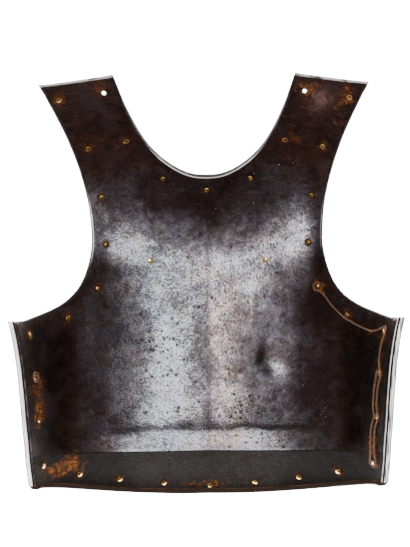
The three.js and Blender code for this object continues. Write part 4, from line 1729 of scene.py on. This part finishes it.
@dataclass
class Breastplate:
    """The plate itself: one closed mesh with its turned edges."""

    fine_rows: int = 5
    columns: int = 100
    rim_steps: int = 3
    finer_inside: float = 0.4
    edge_round: float = 0.5
    edge_rows: tuple[float, float] = (0.22, 0.78)
    relief_off_lips: float = 0.7
    over_floor: float = 0.05
    wire_rust: float = 0.62
    # how dark the wire's painted shadow on the plate is
    wire_soot: float = 0.85
    LIPS = ("neck_lip", "side_lip", "arm_lip", "bottom_lip")

    @staticmethod
    def _rows() -> Array:
        """The plan rows as numbers."""
        return np.array([(r.from_x, r.from_y, r.to_x, r.to_y) for r in ROWS])

    def _rim_profile(self, rim: Sequence[tuple[float, float]]) -> Array:
        """A rim's steps as a smooth run of (on, away), from just off the plate to the edge."""
        at = np.arange(1, (len(rim) - 1) * self.rim_steps + 1) / self.rim_steps
        return through(np.array(rim), (0, len(rim) - 1), at)

    @staticmethod
    def _leaving(edge: Array, normals: Array, last: Optional[Array]) -> Array:
        """The direction in the plate that leaves an edge at each of its points, mitred at corners.

        Args:
            edge: the edge's points.
            normals: the plate's normal at each.
            last: the direction at the last point, where it isn't the edge's own.

        Returns:
            A direction for each point.
        """
        out = []
        for j, (p, n) in enumerate(zip(edge, normals)):
            before = unit(np.cross(n, p - edge[j - 1])) if j else None
            after = unit(np.cross(n, edge[j + 1] - p)) if j + 1 < len(edge) else None
            if before is None:
                out.append(after)
            elif after is None:
                out.append(before if last is None else last)
            else:
                out.append((before + after) / (1 + before @ after))
        return np.array(out)

    def _rims(self, at: Array) -> tuple[Array, Array, Array, Array]:
        """Steps from the neck edge and the outer edge to their rims, row by row.

        Args:
            at: fractional rows.

        Returns:
            Steps from the neck edge, outermost first, steps from the outer edge, and how far along each
            rim they lie.
        """
        rows = self._rows()
        outer = np.c_[rows[:, 2:], FORM.height(rows[:, 2], rows[:, 3])]
        outer_n = FORM.normal(rows[:, 2], rows[:, 3])
        out = self._leaving(outer, outer_n, None)
        corner = (0, CORNER_ROW - 1, CORNER_ROW, CORNER_ROW + 1, len(ROWS) - 1)
        out_at, n_at = through(out, corner, at), unit(through(outer_n, corner, at))
        arm, side = self._rim_profile(ARM_RIM), self._rim_profile(SIDE_RIM)
        w = np.clip(at - (CORNER_ROW - 1), 0, 1)[:, None, None]
        profile = arm[None] * (1 - w) + side[None] * w
        outer_steps = out_at[:, None] * profile[..., :1] - n_at[:, None] * profile[..., 1:]

        neck = np.c_[rows[:, :2], FORM.height(rows[:, 0], rows[:, 1])][: NECK_ROW + 1]
        neck_n = FORM.normal(neck[:, 0], neck[:, 1])
        flip = np.array([-1.0, 1.0, 1.0])
        end = unit(np.array([0.0, neck_n[-1, 2], -neck_n[-1, 1]]))
        out = self._leaving(neck * flip, neck_n * flip, end) * flip
        at_neck = np.minimum(at, NECK_ROW)
        whole = np.ones(NECK_ROW + 1 - len(NECK_RIM_GROWS))
        grown = through(np.r_[NECK_RIM_GROWS, whole], (0, NECK_ROW), at_neck)
        out_at, n_at = through(out, (0, NECK_ROW), at_neck), unit(through(neck_n, (0, NECK_ROW), at_neck))
        profile = np.repeat(self._rim_profile(NECK_RIM)[::-1][None], len(at), 0)
        profile = np.concatenate([profile[..., :1], profile[..., 1:] * grown[:, None, None]], -1)
        neck_steps = out_at[:, None] * profile[..., :1] - n_at[:, None] * profile[..., 1:]
        far = np.arange(1, profile.shape[1] + 1) / profile.shape[1]
        return neck_steps, outer_steps, far[::-1], far

    def _face(self, at: Array) -> Array:
        """The inner face for x at 0 and over, without its rims.

        Args:
            at: fractional rows.

        Returns:
            A grid of points.
        """
        rows = self._rows()
        end = len(ROWS) - 1
        starts = through(rows[:, :2], (0, NECK_ROW, CREASE_ROW, end), at)
        ends = through(rows[:, 2:], (0, CORNER_ROW, CREASE_ROW, end), at)
        fx, fy, tx, ty = starts[:, 0], starts[:, 1], ends[:, 0], ends[:, 1]
        fx = np.where(at >= NECK_ROW, 0.0, fx)
        lower = at > CREASE_ROW + TINY
        sx, _ = FORM.section((fy + ty) / 2, lower)
        a, b = FORM.place_over(sx, fx), FORM.place_over(sx, tx)
        k = np.arange(self.columns + 1) / self.columns
        k = (1 - self.finer_inside) * k + self.finer_inside * k * k
        place = a[:, None] + (b - a)[:, None] * k
        xs = bezier(sx[:, None, :], place)
        s = (xs - xs[:, :1]) / (xs[:, -1:] - xs[:, :1])
        x = fx[:, None] + (tx - fx)[:, None] * s
        w = np.clip(at - (CREASE_ROW - 1), 0, 1)[:, None]
        y = fy[:, None] + (ty - fy)[:, None] * (s * (1 - w) + s * s * w)
        on_crease = at >= CREASE_ROW - TINY
        cx, cz = FORM.section(np.broadcast_to(fy[:, None], x.shape), lower[:, None])
        z = np.where(on_crease[:, None], bezier(cz, FORM.place_over(cx, x)), FORM.height(x, y))
        return np.stack([x, y, z], -1)

    @staticmethod
    def _bottom_steps(grid: Array, first: int, corner: int) -> Array:
        """The waist's lip, as rows beyond a grid's last row.

        Args:
            grid: the points.
            first: the column on the ridge.
            corner: the column at the plate's corner.

        Returns:
            The lip's rows.
        """
        last, before = grid[-1], grid[-2]
        index = np.clip(np.arange(len(last)), first, corner)
        run = last[np.minimum(index + 1, corner)] - last[np.maximum(index - 1, first)]
        run[index == first] = (1.0, 0.0, 0.0)
        out = unit(last[index] - before[index])
        up = unit(np.cross(run, out))
        up = np.where(up[:, 2:] < 0, -up, up)
        return np.stack([last + out * on + up * away for on, away in BOTTOM_LIP])

    def _half(self) -> dict[str, Array]:
        """The inner face for x at 0 and over, as a grid with its rims.

        Returns:
            The grid's points, what each is on, and which of them are there.
        """
        at = np.arange((len(ROWS) - 1) * self.fine_rows + 1) / self.fine_rows
        face = self._face(at)
        neck_steps, outer_steps, neck_far, outer_far = self._rims(at)
        grid = np.concatenate([face[:, :1] + neck_steps, face, face[:, -1:] + outer_steps], 1)
        rim, rim_out = neck_steps.shape[1], len(outer_far)
        shape = grid.shape[:2]
        neck, outer = np.zeros(shape), np.zeros(shape)
        neck[:, :rim] = neck_far
        outer[:, -rim_out:] = outer_far
        side = np.clip(at - (CORNER_ROW - 1), 0, 1)[:, None]
        plan = grid[..., :2].copy()
        plan[:, :rim] = face[:, :1, :2]
        plan[:, -rim_out:] = face[:, -1:, :2]

        grown = {"points": np.concatenate([grid, self._bottom_steps(grid, rim, rim + self.columns)], 0)}
        count = len(BOTTOM_LIP)
        fields = {"plan": plan, "neck_lip": neck, "side_lip": outer * side, "arm_lip": outer * (1 - side)}
        for key, values in fields.items():
            grown[key] = np.concatenate([values, np.repeat(values[-1:], count, 0)], 0)
        low = np.zeros(grown["neck_lip"].shape)
        low[-count:] = (np.arange(1, count + 1) / count)[:, None]
        grown["bottom_lip"] = low
        there = np.ones(low.shape, bool)
        there[NECK_ROW * self.fine_rows + 1:, :rim] = False
        grown["there"] = there
        return grown

    @staticmethod
    def _whole(there: Array) -> Array:
        """Which cells of a grid have all four corners."""
        return there[:-1, :-1] & there[:-1, 1:] & there[1:, 1:] & there[1:, :-1]

    @staticmethod
    def _normals(grid: Array, there: Array) -> Array:
        """Vertex normals of a grid of points, from its whole cells.

        Args:
            grid: the points.
            there: which of them are there.

        Returns:
            A normal for each point.
        """
        a, b, c, d = grid[:-1, :-1], grid[:-1, 1:], grid[1:, 1:], grid[1:, :-1]
        n = unit(np.cross(c - a, b - d)) * Breastplate._whole(there)[..., None]
        out = np.zeros_like(grid)
        out[:-1, :-1] += n
        out[:-1, 1:] += n
        out[1:, 1:] += n
        out[1:, :-1] += n
        out[..., 0] = np.where(np.abs(grid[..., 0]) < ON_RIDGE, 0.0, out[..., 0])
        return unit(out)

    def _shell(self) -> Shell:
        """The whole plate, in millimetres in its own frame.

        Returns:
            Points, faces and point values.
        """
        half = self._half()
        grid, there = half["points"], half["there"]
        grid[..., 0] = np.where(np.abs(grid[..., 0]) < ON_RIDGE, 0.0, grid[..., 0])
        normals = self._normals(grid, there)
        thick = FORM.thickness(half["plan"][..., 0], half["plan"][..., 1])
        outer = grid - normals * thick[..., None]
        rows, cols = there.shape
        rim = int((~there).sum(1).max())

        ej, ek = self._edge(rows, cols, rim)
        around = len(ej)
        leave = self._off_edge(grid, normals, ej, ek)
        inner_edge, outer_edge = grid[ej, ek].copy(), outer[ej, ek].copy()
        wall = [inner_edge * (1 - t) + outer_edge * t for t in self.edge_rows]
        grid[ej, ek] -= leave * self.edge_round
        outer[ej, ek] -= leave * self.edge_round

        count = rows * cols
        base = np.concatenate([grid.reshape(-1, 3), outer.reshape(-1, 3), *wall])
        values: dict[str, Array] = {}
        edge_index = ej * cols + ek
        for key in (*self.LIPS, "plan"):
            v = half[key].reshape(count, -1)
            values[key] = np.concatenate([v, v, v[edge_index], v[edge_index]])
        skin = np.r_[np.ones(count), np.zeros(count), np.ones(2 * around)]
        values["skin"] = skin[:, None]
        n = normals.reshape(-1, 3)
        values["normal"] = np.concatenate([n, n, n[edge_index], n[edge_index]])

        inner_id = np.arange(count).reshape(rows, cols)
        outer_id = inner_id + count
        j, k = np.nonzero(self._whole(there))
        cell = np.stack([inner_id[j, k], inner_id[j + 1, k], inner_id[j + 1, k + 1], inner_id[j, k + 1]], -1)
        faces = [cell, cell[:, [0, 3, 2, 1]] + count]
        first_wall = 2 * count + np.arange(around)
        strips = [inner_id[ej, ek], first_wall, first_wall + around, outer_id[ej, ek]]
        for p, q in zip(strips, strips[1:]):
            faces.append(np.stack([p[:-1], p[1:], q[1:], q[:-1]], -1))
        return self._mirrored(base, np.concatenate(faces), values)

    def _edge(self, rows: int, cols: int, rim: int) -> tuple[Array, Array]:
        """The grid's free edge, from the ridge at the neck to the ridge at the waist.

        Args:
            rows: how many rows the grid has.
            cols: how many columns.
            rim: how many of them are the neck's rim.

        Returns:
            The row and the column of each point.
        """
        loop = [(j, 0) for j in range(NECK_ROW * self.fine_rows, 0, -1)]
        loop += [(0, k) for k in range(cols - 1)]
        loop += [(j, cols - 1) for j in range(rows - 1)]
        loop += [(rows - 1, k) for k in range(cols - 1, rim - 1, -1)]
        edge = np.array(loop)
        return edge[:, 0], edge[:, 1]

    @staticmethod
    def _off_edge(grid: Array, normals: Array, ej: Array, ek: Array) -> Array:
        """The direction in the plate that leaves its free edge.

        Args:
            grid: the inner face's points.
            normals: their normals.
            ej: the row of each edge point.
            ek: the column of each edge point.

        Returns:
            A direction for each edge point.
        """
        n = len(ej)
        before, after = np.maximum(np.arange(n) - 1, 0), np.minimum(np.arange(n) + 1, n - 1)
        run = grid[ej[after], ek[after]] - grid[ej[before], ek[before]]
        leave = unit(np.cross(normals[ej, ek], run))
        middle = grid[grid.shape[0] // 2, grid.shape[1] // 2]
        if ((grid[ej, ek] - middle) * leave).sum() < 0:
            leave = -leave
        leave[:, 0] = np.where(grid[ej, ek, 0] == 0, 0.0, leave[:, 0])
        return leave

    @staticmethod
    def _mirrored(base: Array, quads: Array, values: dict[str, Array]) -> Shell:
        """Both halves as one mesh, joined on the ridge, with unused points left out.

        Args:
            base: the points of the half with x at 0 and over.
            quads: its faces.
            values: its point values.

        Returns:
            Points, faces and point values.
        """
        n = len(base)
        on_ridge = np.abs(base[:, 0]) < ON_RIDGE
        other = np.where(on_ridge, np.arange(n), np.arange(n) + n)
        flip = np.array([-1.0, 1.0, 1.0])
        points = np.concatenate([base, base * flip])
        faces = np.concatenate([quads, other[quads][:, ::-1]])
        both: dict[str, Array] = {}
        for key, v in values.items():
            turned = v * flip[: v.shape[1]] if key in ("normal", "plan") else v
            both[key] = np.concatenate([v, turned])
        used, index = np.unique(faces, return_inverse=True)
        return points[used], index.reshape(faces.shape), {k: v[used] for k, v in both.items()}

    @staticmethod
    def _from_wire(x: Array, y: Array) -> Array:
        """How far plan points lie from the lining wire.

        Args:
            x: plan places across.
            y: plan places along.

        Returns:
            The distance for each point; a great one where the wire is nowhere near.
        """
        nowhere_near, every = 99.0, 3
        out = np.full(len(x), nowhere_near)
        near = np.nonzero((x > 95.0) & (y < 5.0))[0]
        way = LiningWire().way()[::every]
        spots = np.c_[x, y, FORM.height(x, y)][near]
        out[near] = np.sqrt(((spots[:, None] - way[None]) ** 2).sum(-1).min(1))
        return out

    def _dress(self, obj: Piece, values: dict[str, Array]) -> None:
        """Keeps on the mesh what its finish needs: lips, how worn it is with its painted shade and highlight,
        rust, dark stains with the wire's painted shadow, pits and the nearest rivet.

        Args:
            obj: the plate.
            values: the point values that its shell came with.
        """
        x, y = values["plan"][:, 0], values["plan"][:, 1]
        patina, wire = Patina(), self._from_wire(x, y)
        kept = {key: values[key][:, 0] for key in (*self.LIPS, "skin")} | {
            "wear": patina.wear(x, y),
            "warmth": patina.warmth(x, y),
            "arm_end": FORM.from_arm_end(x, y),
            "waist": 1 - smoothstep((FORM.ridge_of(np.abs(x), y) - CREASE) / 1.5 + 0.3),
            "rust": spread(RUST, x, y) + self.wire_rust * bell(wire, 0.0, 2.6),
            # Soot patches, and a painted shadow along the lining wire
            "soot": spread(SOOT, x, y) + self.wire_soot * bell(wire, 0.0, 5.0),
            "pitted": np.clip(spread(PITTED, x, y), 0, 1),
            "flecked": np.clip(spread(FLECKED, x, y), 0, 1),
            "from_ridge": np.abs(x),
            "right": rising(x, -1.0, 2.0),
        }
        for key, numbers in kept.items():
            set_floats(obj, key, numbers)
        self._mark_rivets(obj, x, y)

    @staticmethod
    def _mark_rivets(obj: Piece, x: Array, y: Array) -> None:
        """Keeps on the mesh where the nearest rivet is and how rusty it is.

        Args:
            obj: the plate.
            x: each point's plan place across.
            y: each point's plan place along.
        """
        spots = np.array(list(border_rivets().values()))
        spots = np.c_[spots, FORM.height(spots[:, 0], spots[:, 1])]
        points = np.c_[x, y, FORM.height(x, y)]
        nearest = np.argmin(((points[:, None] - spots[None]) ** 2).sum(-1), 1)
        set_vectors(obj, "rivet_offset", points - spots[nearest])
        draw = np.random.default_rng(5).uniform(0.25, 1.0, len(spots))
        outward = rising(np.abs(spots[nearest, 0]), 60.0, 60.0)
        set_floats(obj, "rivet_rust", draw[nearest] * (0.35 + 0.65 * outward))

    def build(self, material: Material) -> Piece:
        """Makes the plate, with its two empty rivet holes.

        Args:
            material: its steel.

        Returns:
            The plate.
        """
        points, faces, values = self._shell()
        lips = np.maximum.reduce([values[k][:, 0] for k in self.LIPS])
        lift = RELIEF.height(*values["plan"].T) * (1 - self.relief_off_lips * smoothstep(lips))
        points = points + values["normal"] * lift[:, None]
        floor = self.over_floor - PLACING.shift[2]
        points[:, 2] = np.maximum(points[:, 2], floor)
        obj = new_object("breastplate_dressed", PLACING.out(points), faces)
        self._dress(obj, values)
        self._pierce(obj)
        smooth(obj, 50.0)
        obj.data.materials.clear()
        obj.data.materials.append(material)
        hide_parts("breastplate")
        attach(obj, "root")
        return obj

    @staticmethod
    def _pierce(obj: Piece) -> None:
        """Cuts the two empty rivet holes."""
        parts = []
        r, low, high, sides = EMPTY_HOLE_RADIUS, -9, 6, 28
        for side in Side:
            origin, turn = seat(EMPTY_HOLE[0] * side.value, EMPTY_HOLE[1])
            p, f = lathe([(0, low), (r, low), (r, high), (0, high)], sides)
            parts.append((PLACING.out(p @ turn.T + origin), f))
        cutter = new_object("hole_cutter", *joined(parts))
        cut = obj.modifiers.new("holes", "BOOLEAN")
        cut.object = cutter
        cut.operation = "DIFFERENCE"
        cut.solver = "MANIFOLD"
        graph = bpy.context.evaluated_depsgraph_get()
        made = bpy.data.meshes.new_from_object(obj.evaluated_get(graph), depsgraph=graph)
        obj.modifiers.clear()
        obj.data = made
        bpy.data.objects.remove(cutter, do_unlink=True)


@dataclass
class Rivet:
    """One border rivet: a smooth brass dome outside and its hammered end inside."""

    node: str
    x: float
    y: float
    head: float = 4.6
    head_tall: float = 3.0
    shank: float = 2.0
    peen: float = 3.15
    peen_tall: float = 1.4
    collar: float = 0.0
    aged: float = 0.0
    sides: int = 24
    uneven: float = 0.07
    tilt: float = 0.08

    def _axis(self) -> tuple[Array, Array, float, float]:
        """Its seat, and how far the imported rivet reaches."""
        origin, turn = seat(self.x, self.y)
        along = (PLACING.corners(self.node) - PLACING.shift - origin) @ turn[:, 2]
        return origin, turn, float(along.min()), float(along.max())

    def _profile(self, low: float, high: float) -> list[tuple[float, float]]:
        """Its outline, from the dome's top, outside, to the hammered end's, inside.

        Args:
            low: how low it reaches along its axis.
            high: how high.

        Returns:
            Radius and height of each corner.
        """
        under, top = low + self.head_tall, high - self.peen_tall
        turns = np.linspace(0, math.pi / 2, 8)
        dome = [(self.head * math.sin(a), under - self.head_tall * math.cos(a)) for a in turns]
        end = [(self.peen * 0.92, top - 0.3), (self.peen, top + 0.1), (self.peen * 0.95, top + 0.45)]
        end += [(self.peen * 0.74, top + 0.85), (self.peen * 0.45, top + 1.1), (self.peen * 0.2, top + 1.16)]
        if self.collar:
            c = self.collar
            ring = [(c, top - 0.1), (c, top + 0.25), (c * 0.94, top + 0.42), (c * 0.82, top + 0.32)]
            end = ring + [(self.peen * 1.04, top + 0.3)] + end[2:]
        return [(0.0, low), *dome[1:], (self.shank, under), (self.shank, top - 0.3), *end, (0.0, high - 0.02)]

    def build(self, material: Material, seed: int) -> Piece:
        """Makes the rivet.

        Args:
            material: its brass.
            seed: draws how uneven it is.

        Returns:
            The rivet.
        """
        origin, turn, low, high = self._axis()
        points, faces = lathe(self._profile(low, high), self.sides, self.uneven, seed)
        inside = rising(points[:, 2], high - self.peen_tall, 0.6)
        tilt = np.random.default_rng(seed).uniform(-self.tilt, self.tilt, 2)
        points[:, 2] += inside * (points[:, :2] @ tilt)
        far = np.hypot(points[:, 0], points[:, 1]) / self.peen
        obj = new_object(f"{self.node}_dressed", PLACING.out(points @ turn.T + origin), faces)
        set_floats(obj, "low", np.where(inside > 0, rising(far, 0.55, 0.45), rising(far, 1.35, 0.5)))
        set_floats(obj, "aged", np.full(len(points), self.aged))
        smooth(obj, 45.0)
        obj.data.materials.append(material)
        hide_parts(self.node)
        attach(obj, "root")
        return obj


@dataclass
class StrapStud(Rivet):
    """A strap stud: its button outside, which the plate lies on, and its small end inside."""

    tall: float = 17.0
    button: float = 9.0
    button_tall: float = 5.5
    neck: float = 3.3
    foot: float = 6.5
    foot_tall: float = 2.0

    def _profile(self, low: float, high: float) -> list[tuple[float, float]]:
        """Its outline, from the button's top, outside, to the small end's, inside.

        Args:
            low: how low it reaches along its axis.
            high: how high.

        Returns:
            Radius and height of each corner.
        """
        r, under, face = self.button, low + self.button_tall, low + self.tall
        out = [(0.0, low), (r * 0.3, low + 0.15), (r * 0.55, low + 0.7), (r * 0.75, low + 1.45)]
        out += [(r * 0.9, low + 2.4), (r * 0.98, low + 3.5), (r, low + 4.4)]
        out += [(r * 0.97, under - 0.25), (r * 0.9, under)]
        out += [(self.neck + 0.5, under), (self.neck, under + 0.5), (self.neck, face - self.foot_tall - 0.4)]
        out += [(self.neck + 0.6, face - self.foot_tall), (self.foot * 0.85, face - self.foot_tall * 0.9)]
        out += [(self.foot, face - self.foot_tall * 0.5), (self.foot, face), (self.shank, face)]
        top = high - self.peen_tall
        out += [(self.shank, top - 0.3), (self.peen, top + 0.1), (self.peen * 0.92, top + 0.5)]
        return out + [(self.peen * 0.6, top + 0.95), (self.peen * 0.25, top + 1.15), (0.0, high)]


# The lining wire's way down the right side: a rivet with degrees about it, or a plan place.
WIRE_WAY = (
    ("armhole_3", -60, 205),
    (123.4, -24.6),
    (129.8, -33.8),
    (136.6, -41.2),
    ("armhole_4", 140, 185),
    (153.0, -53.6),
    (161.0, -57.6),
    (168.2, -59.6),
    ("side_1", 345, 270),
    (174.6, -71.0),
    (172.8, -82.0),
    (172.2, -92.0),
    ("side_2", 280, 260),
    (171.2, -112.0),
    (170.0, -124.0),
    (169.4, -135.0),
    ("side_3", 280, 260),
    (167.8, -156.0),
    (167.0, -168.0),
    (166.6, -179.0),
    ("side_4", 280, 80),
    (163.6, -178.0),
    (163.8, -168.0),
    (164.6, -156.0),
    ("side_3", 100, 80),
    (166.6, -135.0),
    (167.2, -124.0),
    (168.4, -112.0),
    ("side_2", 100, 20),
)


# Its knots: the rivet, degrees about it, and length.
WIRE_KNOTS = (("side_2", 90, 5.0), ("side_4", 90, 4.0), ("side_1", 300, 3.5))


@dataclass
class LiningWire:
    """What is left of the lining's wire: two thin strands twisted together from rivet to rivet."""

    strand: float = 0.5
    lay: float = 0.46
    pitch: float = 5.2
    lift: float = 1.35
    ring: float = 4.25
    bend: float = 25.0
    spacing: float = 0.55
    sides: int = 7
    strands: int = 2

    def over(self, x: float, y: float, lift: float) -> Array:
        """A place that far over the plate."""
        return np.array([x, y, float(FORM.height(x, y))]) + FORM.normal(x, y) * lift

    def beside(self, x: float, y: float, degrees: float, radius: float) -> Array:
        """A place beside a rivet.

        Args:
            x: the rivet's plan place across.
            y: its plan place along.
            degrees: the direction; 0 looks to the neck and 90 to the ridge.
            radius: how far off its axis.

        Returns:
            The place.
        """
        n = FORM.normal(x, y)
        neck = unit(np.array([0.0, 1.0, 0.0]) - n * n[1])
        ridge = np.cross(n, neck) * (-1 if x < 0 else 1)
        t = math.radians(degrees)
        return self.over(x, y, self.lift) + radius * (neck * math.cos(t) + ridge * math.sin(t))

    def way(self) -> Array:
        """The wire's centre line.

        Returns:
            Its points, close-spaced.
        """
        points = []
        for step in WIRE_WAY:
            if isinstance(step[0], str):
                x, y = RIVETS[step[0]]
                count = max(1, round(abs(step[2] - step[1]) / self.bend))
                points += [self.beside(x, y, a, self.ring) for a in np.linspace(step[1], step[2], count + 1)]
            else:
                points.append(self.over(step[0], step[1], self.lift))
        return self.resampled(np.array(points), self.spacing)

    @staticmethod
    def resampled(points: Array, step: float) -> Array:
        """A smooth line through points.

        Args:
            points: the points.
            step: about how far apart the line's own points are.

        Returns:
            The line's points.
        """
        n, finer = len(points), 24
        line = through(points, (0, n - 1), np.linspace(0, n - 1, n * finer))
        far = LiningWire.along(line)
        at = np.linspace(0, far[-1], max(2, int(far[-1] / step)))
        return np.stack([np.interp(at, far, line[:, k]) for k in range(3)], -1)

    @staticmethod
    def along(line: Array) -> Array:
        """How far along a line each of its points lies."""
        return np.r_[0, np.cumsum(np.linalg.norm(np.diff(line, axis=0), axis=1))]

    def twisted(self, line: Array, closed: bool = False) -> list[Mesh]:
        """Strands that twist about a line.

        Args:
            line: the line.
            closed: whether its ends meet.

        Returns:
            Each strand's mesh.
        """
        run = unit(np.gradient(line, axis=0))
        up = unit(np.cross(run, ASKEW))
        side = np.cross(run, up)
        far = self.along(line)
        turns = max(1, round(far[-1] / self.pitch)) if closed else far[-1] / self.pitch
        wave = HammerWork(31).at(far, 0 * far, 9.0)
        out = []
        for s in range(self.strands):
            a = far / far[-1] * turns * 2 * math.pi + s * 2 * math.pi / self.strands + wave * 1.5
            lay = self.lay * (1 + 0.4 * wave)
            points = line + lay[:, None] * (np.cos(a)[:, None] * up + np.sin(a)[:, None] * side)
            out.append(tube(points, np.full(len(points), self.strand), self.sides, closed))
        return out

    def _knot(self, name: str, degrees: float, length: float) -> Mesh:
        """A short coil where the strands are knotted beside a rivet.

        Args:
            name: the rivet's name.
            degrees: where it is beside the rivet.
            length: how long the coil is.

        Returns:
            The coil's mesh.
        """
        x, y = RIVETS[name]
        at = self.beside(x, y, degrees, self.ring + 0.2)
        n = FORM.normal(x, y)
        along = unit(np.array([0.0, 1.0, 0.0]) - n * n[1])
        side = np.cross(n, along)
        coils, radius, t = 3, 1.15, np.linspace(0, 1, 40)
        a = t * 2 * math.pi * coils
        coil = np.outer(np.cos(a), side) + np.outer(np.sin(a), n)
        line = at + np.outer((t - 0.5) * length, along) + radius * coil
        return tube(line, np.full(len(line), self.strand * 0.9), self.sides)

    def build(self, material: Material) -> Piece:
        """Makes the wire.

        Args:
            material: its iron.

        Returns:
            The wire.
        """
        parts = self.twisted(self.way())
        for knot in WIRE_KNOTS:
            parts.append(self._knot(*knot))
        obj = new_object("lining_wire_dressed", *self._placed(parts))
        return self._finish(obj, material, "lining_wire")

    @staticmethod
    def _placed(parts: Sequence[Mesh]) -> Mesh:
        """Parts as one mesh in the row's frame."""
        points, faces = joined(parts)
        return PLACING.out(points), faces

    @staticmethod
    def _finish(obj: Piece, material: Material, node: str) -> Piece:
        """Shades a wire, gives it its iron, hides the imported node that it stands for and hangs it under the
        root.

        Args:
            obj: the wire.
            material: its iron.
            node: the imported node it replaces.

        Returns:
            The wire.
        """
        smooth(obj, 80.0)
        obj.data.materials.append(material)
        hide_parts(node)
        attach(obj, "root")
        return obj


@dataclass
class WireLoop(LiningWire):
    """The small loop left round one rivet on the left side."""

    radius: float = 4.7
    points: int = 72

    def build(self, material: Material) -> Piece:
        """Makes the loop.

        Args:
            material: its iron.

        Returns:
            The loop.
        """
        x, y = RIVETS["side_2"]
        turns = np.linspace(0, 360, self.points + 1)[:-1]
        line = np.array([self.beside(-x, y, a, self.radius) for a in turns])
        obj = new_object("wire_loop_dressed", *self._placed(self.twisted(line, True)))
        return self._finish(obj, material, "wire_loop")


@dataclass(frozen=True)
class Lamp:
    """A soft rectangular lamp that looks at the middle of the table, in metres and watts."""

    name: str
    place: tuple[float, float, float]
    size: tuple[float, float]
    power: float

    def hang(self) -> Piece:
        """Hangs the lamp.

        Returns:
            The lamp.
        """
        data = bpy.data.lights.new(self.name, "AREA")
        data.shape = "RECTANGLE"
        data.size, data.size_y = self.size
        data.energy = self.power
        lamp = bpy.data.objects.new(self.name, data)
        bpy.context.scene.collection.objects.link(lamp)
        lamp.location = self.place
        lamp.rotation_euler = (-Vector(self.place)).to_track_quat("-Z", "Y").to_euler()
        return lamp


@dataclass
class Studio:
    """The table, the lights and the camera, in metres."""

    camera_right: float = 0.023
    camera_shift: float = -0.0445
    camera_up: float = 1.400
    camera_lens: float = 84.63
    turned: float = math.radians(-0.6)
    table_half: float = 3.0
    room: float = 0.35
    over_plate: tuple[Lamp, ...] = (
        Lamp("over_neck", (0.0, 0.55, 2.0), (1.5, 0.8), 90.0),
        Lamp("over_left", (-0.8, 0.0, 1.8), (0.2, 1.4), 19.0),
        Lamp("over_right", (0.8, 0.0, 1.8), (0.2, 1.4), 14.0),
    )
    table_alone: tuple[Lamp, ...] = (
        Lamp("table_left", (-0.9, 0.1, 2.3), (0.8, 0.8), 1500.0),
        Lamp("table_right", (0.9, 0.1, 2.3), (0.8, 0.8), 1500.0),
    )

    def camera(self) -> None:
        """Sets the camera straight over the plate."""
        data = bpy.data.cameras.new("camera")
        data.sensor_width = 36.0
        data.lens = self.camera_lens
        data.clip_end = 20.0
        data.shift_x = self.camera_shift
        cam = bpy.data.objects.new("camera", data)
        bpy.context.scene.collection.objects.link(cam)
        cam.location = (self.camera_right, float(PLACING.shift[1]) * MM, self.camera_up)
        cam.rotation_euler = (0.0, 0.0, self.turned)
        bpy.context.scene.camera = cam

    def table(self, material: Material) -> Piece:
        """Lays the white table top.

        Args:
            material: its finish.

        Returns:
            The table top.
        """
        r = self.table_half
        corners = np.array([[-r, -r, 0], [r, -r, 0], [r, r, 0], [-r, r, 0]])
        top = new_object("table_top", corners, [(0, 1, 2, 3)])
        top.data.materials.append(material)
        return top

    def light(self, table: Piece) -> None:
        """Hangs the lamps and sets a pale room.

        Args:
            table: the table top, which some of the lamps light alone.
        """
        for lamp in self.over_plate:
            lamp.hang()
        only = bpy.data.collections.new("table alone")
        only.objects.link(table)
        for lamp in self.table_alone:
            lamp.hang().light_linking.receiver_collection = only
        world = bpy.data.worlds.new("pale room")
        bpy.context.scene.world = world
        world.use_nodes = True
        back = world.node_tree.nodes["Background"]
        back.inputs["Color"].default_value = (1.0, 1.0, 1.0, 1.0)
        back.inputs["Strength"].default_value = self.room


def how_dull(node: str, y: float) -> float:
    """How dull a rivet's brass has gone, from its place on the plate."""
    if y > 100:
        return 0.85
    return 0.6 if "side" in node or "armhole" in node else 0.15


def report(made: Piece) -> None:
    """Logs a piece and how many faces it has."""
    log.info("%s: %d faces", made.name, len(made.data.polygons))


def main() -> None:
    """Builds the plate and everything on it."""
    logging.basicConfig(level=logging.INFO, format="%(message)s")
    studio = Studio()
    studio.camera()
    studio.light(studio.table(TableFinish().build()))
    log.info("shift of the frame %s", np.round(PLACING.shift, 3))

    report(Breastplate().build(SteelFinish().build()))
    rivet_brass = BrassFinish().build()
    for seed, (node, (x, y)) in enumerate(border_rivets().items()):
        rivet = Rivet(node, x, y, collar=COLLARS.get(node, 0.0), aged=how_dull(node, y))
        report(rivet.build(rivet_brass, seed))
    stud_brass = BrassFinish(
        "Stud brass", clean=(0.80, 0.60, 0.28, 1.0), aged=(0.5, 0.33, 0.13, 1.0), grime=0.65, rough=0.26
    ).build()
    for side in Side:
        stud = StrapStud(side.node("strap_stud"), STRAP_STUD[0] * side.value, STRAP_STUD[1])
        made = stud.build(stud_brass, STUD_SEED + side.value)
        report(made)
    wire = WireFinish().build()
    for piece in (LiningWire(), WireLoop()):
        report(piece.build(wire))


if __name__ == "__main__":
    main()
